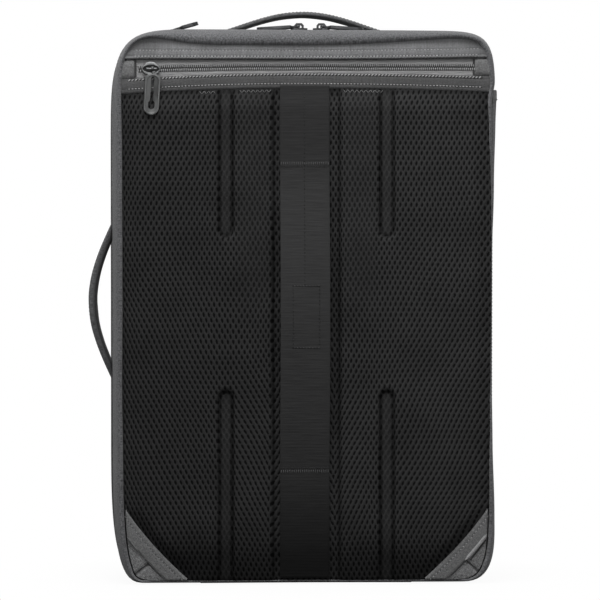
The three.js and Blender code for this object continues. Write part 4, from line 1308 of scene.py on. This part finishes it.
def cornerPiece(name, side, isBand, look, node):
    length = cornerFrames[side][1]

    def place(u, v):
        s = length * mix(0.012, 1.0, v)
        reach = reachToRim(side, s) if v < 1 else 0.3
        if isBand:
            reach = min(reach, corner["bandWidth"] + ripple(s, 0, 0, 14, 1.0) * 0.5)
        d = reach * u
        point = cornerPoint(side, s, d)
        if isBand:
            proud = corner["bandProud"] + 0.35 * math.sin(math.pi * u)
            proud -= 1.2 * smooth(1.4, 0, d) + 0.9 * smooth(1.2, 0, reach - d)
            proud -= 0.35 * smooth(1.2, 0, abs(d - corner["stitchIn"]))
        else:
            proud = corner["proud"] + 0.6 * math.sin(math.pi * u)
            proud -= 1.5 * smooth(1.8, 0, abs(s - corner["seamAt"][side]))
            proud -= 0.8 * smooth(5, 0, abs(d - corner["bandWidth"] - 1))
            proud += ripple(point.x, 0, point.y, 12, 6.0) * 0.5
        return onBack(point.x, point.y, proud), (s, d)

    makeCloth(name, (24, 52), place, look, node, corner["thickness"])


def cornerStrip(name, side, ends, width, proud, look):
    # a narrow strip laid from one (s, d) to another: painted shade along a sewn crease, or a folded
    # edge
    (s0, d0), (s1, d1) = ends
    turn = Vector((s1 - s0, d1 - d0)).normalized()

    def place(u, v):
        s, d = mix(s0, s1, v), mix(d0, d1, v)
        off = (u - 0.5) * width * min(1, 6 * v + 0.2, 6 * (1 - v) + 0.2)
        point = cornerPoint(side, s - turn.y * off, d + turn.x * off)
        return onBack(point.x, point.y, proud - 0.5 * (2 * u - 1) ** 2), (off, s)

    makeCloth(name, (6, 24), place, look, wall=0.5)


cornerStitchGapShade = []
for side, word in ((-1, "left"), (1, "right")):
    width, proud, seamAt = corner["bandWidth"], corner["proud"], corner["seamAt"][side]
    fromS, toS, ribbonWidth = corner["ribbon"][side]
    cornerPiece(
        f"corner_cloth_{word}", side, False, "patch", f"corner_patch_{word}",
    )
    cornerPiece(
        f"corner_fold_{word}", side, True, "cornerBand", f"corner_band_{word}",
    )
    # the dark creases are painted shade
    strips = [
        (f"corner_crease_{word}",
         ((seamAt, width - 0.5), (seamAt + 1, reachToRim(side, seamAt) - 0.4)),
         0.8, proud + 0.15, "darkThreadAndShade"),
        (f"corner_edge_crease_{word}", ((15, width + 0.3), (seamAt + 1, width + 0.4)),
         0.7, proud + 0.35, "darkThreadAndShade"),
        # the right ribbon is a painted highlight along the band's folded edge
        (f"corner_ribbon_{word}", ((fromS, width - 0.4), (toS, width - 0.8)),
         ribbonWidth, corner["bandProud"] + 0.7, "ribbon" if side > 0 else "cornerBand"),
    ]
    if side > 0:
        strips.append((
            "corner_ribbon_crease", ((fromS + 3, width + 2.6), (toS - 4, width + 1.4)),
            1.0, proud + 0.6, "darkThreadAndShade",
        ))
    for name, *strip in strips:
        cornerStrip(name, side, *strip)

    def cornerSpot(t):
        point = cornerPoint(side, mix(*corner["stitchRun"], t), corner["stitchIn"])
        return point.x, point.y, corner["bandProud"] + 0.1

    line = backLine(30, cornerSpot)
    copyAlong(
        f"corner_stitches_{word}", (1.5, 0.6, 0.6), stitchRow(line, corner["stitchPitch"]),
        "brightThread" if side > 0 else "thread",
    )
    # dark dashes between the stitches: painted shade
    cornerStitchGapShade += stitchRow(line, corner["stitchPitch"], start=corner["stitchPitch"] / 2)
copyAlong("corner_needle_holes", (1.2, 0.6, 0.4), cornerStitchGapShade, "darkThreadAndShade")
print("corners made")


# zips over the top and down the sides
zipLook = {
    "recess": 0.95, "tapeHalf": 5.2, "thickness": 0.6, "pitch": 1.6, "offset": 1.55,
    "coilRise": 0.55, "start": 1.0, "seamAside": 7.4, "seamRun": 4.0,
}


def overTop(zipper, margin):
    path = [station for station in outline if station[1] > zipper["endZ"] + margin]
    first = path.index(min(path, key=lambda station: (station[0] < 0, station[1])))
    return path[first:] + path[:first]


def zipRow(zipper, margin, aside, inset, *row):
    return stitchRow([
        (Vector((x - nx * inset, zipper["centreY"] + aside, z - nz * inset)), Vector((nx, 0, nz)))
        for x, z, nx, nz, _, _ in overTop(zipper, margin)
    ], *row)


def topZip(name, zipper):
    path = overTop(zipper, zipLook["start"])

    def place(u, v):
        x, z, nx, nz, _, s = path[round(u * (len(path) - 1))]
        y = zipper["centreY"] + (v - 0.5) * 2 * zipLook["tapeHalf"]
        away = abs(v - 0.5) * 2
        inset = zipLook["recess"] + 0.35 * smooth(0.8, 1, away) - 0.2 * smooth(0.2, 0.5, away)
        return (x - nx * inset, y, z - nz * inset), (y, s)

    makeCloth(
        f"{name}_tape", (len(path) - 1, 10), place, "tape", f"{name}_tape",
        zipLook["thickness"], outward=awayFromMiddle,
    )
    coilRows, seamRows = [], []
    for side in (-1, 1):
        coilRows += zipRow(
            zipper, zipLook["start"], side * zipLook["offset"],
            zipLook["recess"] - zipLook["coilRise"], zipLook["pitch"], quarterTurn,
            1.0 if side < 0 else 1.0 + zipLook["pitch"] / 2,
        )
        seamRows += zipRow(zipper, -zipLook["seamRun"], side * zipLook["seamAside"], -0.05, 3.0)
    copyAlong(f"{name}_teeth", (2.5, 0.85, 0.95), coilRows, "coil", f"{name}_coil")
    copyAlong(f"{name}_stitches", (2.0, 0.5, 0.5), seamRows, "thread")


topZip("laptop_zip", zips["laptop"])
topZip("main_zip", zips["main"])
print("top zips made")


# grab handles: a folded strip of cloth, flat where it is sewn and arched between
handle = {"width": 24, "endThickness": 1.7, "y": -3, "cells": (28, 120), "edgeRow": 9.4, "cross": 9}
topHandle = {"centre": 2.4, "half": 84, "span": 70, "reach": 16.6, "thickness": 4.5, "power": 1.2}
sideHandle = {
    "centre": 225.9, "half": 80, "span": 64.5, "reach": 19.2, "thickness": 7.3, "power": 1.0,
}


def handleSection(shape, s):
    # how far out the strip's underside lies, its thickness there, and how far it has risen
    t = abs(s) / shape["span"]
    lift = math.cos(t * quarterTurn) ** shape["power"] if t < 1 else 0
    outer = max(handle["endThickness"] - 0.9, shape["reach"] * lift)
    thick = min(outer + 0.9, mix(handle["endThickness"], shape["thickness"], min(1, lift * 3)))
    return outer - thick, thick, lift


def grabHandle(name, shape, toPlace, node):
    centre, half = shape["centre"], shape["half"]
    middle = toPlace(centre, 0, 0)
    outward = (toPlace(centre, 0, 10) - middle).normalized()
    lengthwise = (toPlace(centre + 10, 0, 0) - middle).normalized()

    def place(u, v):
        s = mix(-half, half, v)
        under, thick, lift = handleSection(shape, s)
        close = min(1, (half - abs(s)) / 1.2)
        halfWide = handle["width"] / 2 * mix(1, 0.94, lift)
        c, n = math.cos(2 * math.pi * u), math.sin(2 * math.pi * u)
        across = halfWide * squarer(c, 0.42) * (0.35 + 0.65 * close)
        away = thick / 2 * squarer(n, 0.75) * max(0.02, close)
        away -= 0.35 * smooth(1.6, 0, abs(abs(across) - halfWide + 2.6)) * (1 if n > 0 else 0)
        away += ripple(s, across, 0, 16, 3.0) * 0.25 * lift
        point = toPlace(centre + s, across, under + thick / 2 + away)
        return point, (s, across + (40 if n < 0 else 0))

    def undersidePaintedShade(point):  # painted shade: the underside is darkened, as it lies in its own shade
        under, thick, lift = handleSection(shape, (point - middle).dot(lengthwise))
        height = ((point - middle).dot(outward) - under) / thick
        return smooth(0.5, 0.2, height) * min(1, lift * 4)

    def seam(a, b, count, pitch, sink=0.0):
        def spot(t):
            s, across = mix(a[0], b[0], t), mix(a[1], b[1], t)
            under, thick, _ = handleSection(shape, s)
            return toPlace(centre + s, across, under + thick - sink), outward

        return stitchRow(laidLine(count, spot), pitch)

    piece = makeCloth(
        name, handle["cells"], place, "handle", node, angle=50, outward=None,
        wrap=True, marks={"PaintedShade": undersidePaintedShade},
    )
    rows = []
    for across in (-handle["edgeRow"], handle["edgeRow"]):
        rows += seam((3 - half, across), (half - 3, across), 80, 3.0, 0.25)
    near, far, wide = shape["span"] + 3, half - 3, handle["cross"]
    for end in (-1, 1):  # the sewn ends carry a boxed cross
        for s0, s1, side in ((near, near, 1), (far, far, 1), (near, far, 1), (near, far, -1)):
            rows += seam((end * s0, -wide * side), (end * s1, wide * side), 8, 2.6)
    copyAlong(f"{name}_stitches", stitch["slim"], rows, "darkThreadAndShade")


sideX = {"left": -fromTable(sideReach[-1], 226) - 0.1, "right": fromTable(sideReach[1], 226) - 0.5}
grabHandle(
    "top_handle_cloth", topHandle,
    lambda s, across, away: Vector((s, handle["y"] + across, topReach[1][1] + away)), "top_handle",
)
grabHandle(
    "side_handle_cloth", sideHandle,
    lambda s, across, away: Vector((sideX["left"] - away, handle["y"] + across, s)), "side_handle",
)
print("handles made")


# side pocket: a slim cloth pocket, sewn down its sides and open at its bound mouth
pocket = {
    "centreY": -14, "width": 54, "bottom": 40, "top": 396, "bulge": 6.2, "thickness": 1.2,
    "binding": 9, "cells": (30, 90), "mouthDrop": 5,
}
pocketBulge = [(0, 0), (0.1, 0.05), (0.35, 0.14), (0.6, 0.3), (0.8, 0.58), (0.92, 0.84), (1, 1)]


def pocketOut(y, z):
    u = max(-1, min(1, (y - pocket["centreY"]) / (pocket["width"] / 2)))
    rise = (z - pocket["bottom"]) / (pocket["top"] - pocket["bottom"])
    bulge = pocket["bulge"] * fromTable(pocketBulge, rise) * math.cos(u * quarterTurn) ** 0.8
    return 0.3 + bulge + ripple(0, y, z, 40, 2.0) * 0.5 * min(1, bulge / 2)


def mouthZ(u):  # the mouth dips sharply at both of its sewn sides
    return pocket["top"] - pocket["mouthDrop"] * (2 * abs(u - 0.5)) ** 8


def pocketPoint(u, v):
    y = pocket["centreY"] + (u - 0.5) * pocket["width"]
    z = mix(pocket["bottom"], mouthZ(u), v)
    out = pocketOut(y, z) + pocket["thickness"]
    out -= 0.8 * smooth(0.94, 1, abs(2 * u - 1)) + 0.8 * smooth(0.012, 0, v)
    return (sideX["right"] + out, y, z), (y, z)


def bindingPoint(u, v):
    y = pocket["centreY"] + (u - 0.5) * (pocket["width"] - 1.5)
    angle, height, half = v * 2 * math.pi, pocket["binding"] / 2, pocket["thickness"] / 2
    z = mouthZ(u) - height + 0.7 + height * squarer(math.sin(angle), 0.6)
    out = pocketOut(y, pocket["top"] - 3) + half + (half + 0.2) * squarer(math.cos(angle), 0.5)
    return (sideX["right"] + out, y, z), (y, v * 20)


def pocketSpot(y, z, lift=0.0):
    out = sideX["right"] + pocketOut(y, z) + pocket["thickness"] + lift
    return Vector((out, y, z)), Vector((1, 0, 0))


def mouthSpot(t):
    y = pocket["centreY"] + (t - 0.5) * (pocket["width"] - 5)
    return pocketSpot(y, mouthZ(t) - pocket["binding"] + 2.2, 0.7)


sidePocket = makeCloth(
    "side_pocket_cloth", pocket["cells"], pocketPoint, "shell", "side_pocket",
    pocket["thickness"], outward=lambda centre: Vector((1, 0, 0)),
)
makeCloth(
    "pocket_binding", (pocket["cells"][0], 20), bindingPoint, "cornerBand",
    angle=50, outward=None, wrap=True,
)
pocketRows = stitchRow(laidLine(30, mouthSpot), 3.0)
for side in (-1, 1):
    y = pocket["centreY"] + side * (pocket["width"] / 2 - 2.4)
    line = laidLine(80, lambda t: pocketSpot(y, mix(pocket["bottom"] + 2, pocket["top"] - 12, t)))
    pocketRows += stitchRow(line, 3.0)
copyAlong("pocket_stitches", stitch["slim"], pocketRows, "thread")
print("side pocket made")


# metal: sliders and pulls keep the CAD's shape, with broken edges
metal = {
    "swell": 0.35, "bevel": 0.22, "archFrom": 0.4445, "archDrop": 0.4, "gripThicker": 0.8,
    "longer": {"laptop_left_pull": 3.2, "laptop_right_pull": 3.2, "main_pull": 0.8},
}


def finishedCopy(node, body, swell=0.0):
    copy = nodes[node].copy()
    copy.data = nodes[node].data.copy()
    bpy.context.collection.objects.link(copy)
    named(copy, f"{node}_metal")
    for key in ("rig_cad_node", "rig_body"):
        if key in copy:
            del copy[key]
    copy.parent = None
    edited(
        copy, lambda: bpy.ops.mesh.remove_doubles(threshold=0.01 * mm),
        lambda: bpy.ops.mesh.dissolve_limited(angle_limit=math.radians(2)),
        lambda: bpy.ops.transform.shrink_fatten(value=swell * mm),
    )
    soften(copy, metal["bevel"], 32)
    shadeSmooth(copy, 32)
    return dress(copy, "darkMetal", body, node)


for node in ("laptop_left_slider", "laptop_right_slider", "main_slider"):
    slider = finishedCopy(node, "bag", metal["swell"])
    if node == "main_slider":  # its arch lies lower than the other two
        for vertex in slider.data.vertices:
            vertex.co.z -= max(0, vertex.co.z - metal["archFrom"]) * metal["archDrop"]
for node, longer in metal["longer"].items():
    body = node + "er"
    puller = finishedCopy(node, body)
    # the grip is thicker than the eye and runs further out
    joints = frame["record"]["behaviour"]["joints"]
    pivot = Vector(next(joint["pos_m"] for joint in joints if joint["child"] == body))
    points = puller.data.vertices
    far = max((vertex.co for vertex in points), key=lambda co: (co - pivot).length)
    along = Vector((far.x - pivot.x, 0, far.z - pivot.z)).normalized()
    across = Vector((-along.z, 0, along.x))
    for vertex in points:
        out = (vertex.co - pivot).dot(along) / mm
        thicker = metal["gripThicker"] * smooth(4.5, 8, out)
        vertex.co += across * (vertex.co - pivot).dot(across) * thicker
        vertex.co += along * longer * mm * smooth(8, 20, out)

# stow slider: an oval plate with a slit, a black sheet of painted shade inside it, and a pin across
# it
stowMetal = {
    "x": -120.4, "ringX": -121.6, "y": -57.6, "pivotY": -61.5, "z": 411.31,
    "base": (15.2, 11.4, 2.6), "slit": (13.2, 5.8, 1.4), "pinLong": 8.6, "pinRadius": 0.8,
}


def rod(radius, depth, where, rotation=(quarterTurn, 0, 0), vertices=48):
    return added(
        bpy.ops.mesh.primitive_cylinder_add, vertices=vertices, radius=radius, depth=depth * mm,
        rotation=rotation, location=where,
    )


def ovalPlate(where, long, wide, depth):
    plate = rod(0.5, depth, where)
    plate.scale = (long * mm, wide * mm, 1)
    bpy.ops.object.transform_apply(location=True, rotation=True, scale=True)
    return plate


def stowSlider():
    here = Vector((stowMetal["ringX"], stowMetal["y"], stowMetal["z"])) * mm
    outward = Vector((0, -mm, 0))
    baseLong, baseWide, base = stowMetal["base"]
    slitLong, slitWide, slitDepth = stowMetal["slit"]
    face = here + outward * base
    plate = ovalPlate(here + outward * base / 2, baseLong, baseWide, base)
    soften(plate, 0.8, 40, segments=4)
    cut(plate, ovalPlate(face, slitLong, slitWide, 2 * slitDepth))
    soften(plate, 0.2, 50)
    pin = rod(
        stowMetal["pinRadius"] * mm, stowMetal["pinLong"], face + Vector((0.6, -0.9, 0)) * mm,
        (0, quarterTurn, 0), 20,
    )
    soften(pin, 0.25, 50)
    slider = join("stow_slider_metal", [plate, pin])
    shadeSmooth(slider, 45)
    dress(slider, "slider", "bag", "stow_slider")
    # painted shade: a black sheet in the slit's hollow
    inside = ovalPlate(face - outward * (slitDepth - 0.15), slitLong - 0.3, slitWide - 0.2, 0.25)
    dress(named(inside, "stow_slider_inside"), "blackThreadAndShade", "bag")


stowPull = {
    "width": 12.4, "top": -4.2, "bottom": -37.2, "thickness": 2.0, "tilt": 5, "swing": 3.6,
    "shift": 0.8, "slot": 2.4, "hole": 2.5, "holeAt": -30.4, "slotTop": -6.4, "recess": 0.55,
    "rim": 1.5, "neck": (2.5, 1.7, 4.0), "neckZ": -3.9, "ring": 1.65, "wire": 0.45,
}


def stadium(top, bottom, radius, depth):
    # an upright round-ended bar, its face to the front
    bar = rod(radius * mm, depth, (0, 0, (bottom + radius) * mm))
    bpy.ops.object.transform_apply(location=True, rotation=True, scale=True)
    middle = (bottom + radius) * mm + 1e-6
    for vertex in bar.data.vertices:
        if vertex.co.z > middle:
            vertex.co.z += (top - bottom - 2 * radius) * mm
    return bar


def stowPuller():
    p = stowPull
    half = p["width"] / 2
    blade = stadium(p["top"], p["bottom"], half, p["thickness"])
    shoulder = (p["top"] - half) * mm
    for vertex in blade.data.vertices:  # the shoulders are squarer than the foot
        if vertex.co.z > shoulder:
            vertex.co.z = mix(shoulder, vertex.co.z, 0.98)
            vertex.co.x = math.copysign(min(abs(vertex.co.x) * 1.32, half * mm), vertex.co.x)
    hollow = stadium(p["top"] - p["rim"], p["bottom"] + p["rim"], half - p["rim"], 2)
    hollow.location = (0, -(p["thickness"] / 2 + 1 - p["recess"]) * mm, 0)
    cut(blade, hollow)
    soften(blade, 0.22, 40)
    cut(blade, stadium(p["slotTop"], p["holeAt"], p["slot"] / 2, 8))
    cut(blade, stadium(p["holeAt"] + p["hole"] * 2, p["holeAt"] - p["hole"] + 0.2, p["hole"], 8))
    soften(blade, 0.14, 55)
    knuckle = added(
        bpy.ops.mesh.primitive_torus_add, major_segments=28, minor_segments=12,
        major_radius=p["ring"] * mm, minor_radius=p["wire"] * mm, rotation=(0, quarterTurn, 0),
    )
    bpy.ops.object.transform_apply(location=False, rotation=True, scale=True)
    for vertex in knuckle.data.vertices:
        vertex.co.x *= 2.2
    neck = added(bpy.ops.mesh.primitive_cube_add, size=1, location=(0, 0, p["neckZ"] * mm))
    neck.scale = Vector(p["neck"]) * mm
    bpy.ops.object.transform_apply(location=False, rotation=False, scale=True)
    soften(neck, 0.35, 40)
    hang = Matrix.Rotation(math.radians(p["swing"]), 4, "Y")
    for part in (blade, neck):
        part.data.transform(Matrix.Translation((p["shift"] * mm, 0, 0)) @ hang)
    puller = join("stow_pull_metal", [blade, knuckle, neck])
    pivot = Vector((stowMetal["x"], stowMetal["pivotY"], stowMetal["z"])) * mm
    tilt = Matrix.Rotation(-math.radians(p["tilt"]), 4, "X")
    puller.data.transform(Matrix.Translation(pivot) @ tilt)
    shadeSmooth(puller, 40)
    dress(puller, "gunmetal", "stow_puller", "stow_pull")


stowSlider()
stowPuller()
print("metal made")


# floor, light and camera
view = {
    "target": (-2.5, -57, 226.9), "distance": 3000, "azimuth": -3, "elevation": 0.5,
    "across": 480, "sensor": 36,
}
stage = {"ambient": 0.22, "shadowFrom": 0.08, "shadowTo": 0.3, "paperNear": 0.93, "floor": 60}


def grey(value):
    return (value, value, value, 1)


def mixed(tree, factor, first, second):
    inputs = {0: factor, 1: first.outputs[0], 2: second.outputs[0]}
    return addNode(tree, "ShaderNodeMixShader", inputs)


floor = named(added(
    bpy.ops.mesh.primitive_plane_add, size=stage["floor"], location=(0, 0, -0.0004),
), "floor")
floorLook = bpy.data.materials.new("pale floor")
tree = clearedTree(floorLook)
matt = addNode(tree, "ShaderNodeBsdfDiffuse", {"Color": grey(0.1)})
bright = addNode(tree, "ShaderNodeBsdfDiffuse", {"Color": grey(0.95)})
paper = addNode(tree, "ShaderNodeEmission", {"Color": grey(1), "Strength": 1.0})
here = addNode(tree, "ShaderNodeTexCoord").outputs["Object"]
reach = addNode(tree, "ShaderNodeVectorMath", {0: here}, operation="LENGTH").outputs["Value"]
fade = ramp(tree, reach, stage["shadowFrom"], stage["shadowTo"], stage["paperNear"], 1.0)
lookedAt = addNode(tree, "ShaderNodeLightPath").outputs["Is Camera Ray"]
final = mixed(tree, lookedAt, matt, mixed(tree, fade, bright, paper))
addNode(tree, "ShaderNodeOutputMaterial", {0: final.outputs[0]})
floor.data.materials.append(floorLook)

world = bpy.data.worlds.new("studio")
bpy.context.scene.world = world
tree = clearedTree(world)
seen = addNode(tree, "ShaderNodeBackground", {"Color": grey(1), "Strength": 1.0})
lit = addNode(tree, "ShaderNodeBackground", {"Color": grey(1), "Strength": stage["ambient"]})
lookedAt = addNode(tree, "ShaderNodeLightPath").outputs["Is Camera Ray"]
addNode(tree, "ShaderNodeOutputWorld", {0: mixed(tree, lookedAt, lit, seen).outputs[0]})

for name, place, target, size, power in (
    ("key", (-0.15, -0.55, 1.35), (0, -0.05, 0.42), 0.7, 12.4),
    ("left", (-1.6, -0.8, 0.8), (0, 0, 0.25), 1.0, 4.1),
    ("right", (1.7, -0.8, 0.8), (0, 0, 0.25), 1.0, 4),
    ("front", (0.1, -2.4, 0.7), (0, 0, 0.15), 1.2, 11),
    ("behind", (0.4, 2.0, 0.85), (0, 0, 0.22), 1.2, 13),
    ("behindLeft", (-1.7, 1.2, 0.7), (0, 0, 0.22), 1.0, 5),
    ("behindRight", (1.7, 1.2, 0.7), (0, 0, 0.22), 1.0, 5),
):
    light = added(bpy.ops.object.light_add, type="AREA", location=place)
    light.name = name
    light.data.shape = "DISK"
    light.data.size = size
    light.data.energy = power
    light.rotation_mode = "QUATERNION"
    light.rotation_quaternion = (Vector(target) - Vector(place)).to_track_quat("-Z", "Y")

camera = added(bpy.ops.object.camera_add)
camera.name = "camera"
a, e = math.radians(view["azimuth"]), math.radians(view["elevation"])
back = Vector((math.sin(a) * math.cos(e), -math.cos(a) * math.cos(e), math.sin(e)))
camera.location = Vector(view["target"]) * mm + back * view["distance"] * mm
camera.rotation_mode = "QUATERNION"
camera.rotation_quaternion = (-back).to_track_quat("-Z", "Y")
camera.data.sensor_width = view["sensor"]
camera.data.lens = view["sensor"] * view["distance"] / view["across"]
camera.data.clip_start = 0.1
camera.data.clip_end = 50
bpy.context.scene.camera = camera
bpy.context.scene.view_settings.view_transform = "Standard"
print("stage set")
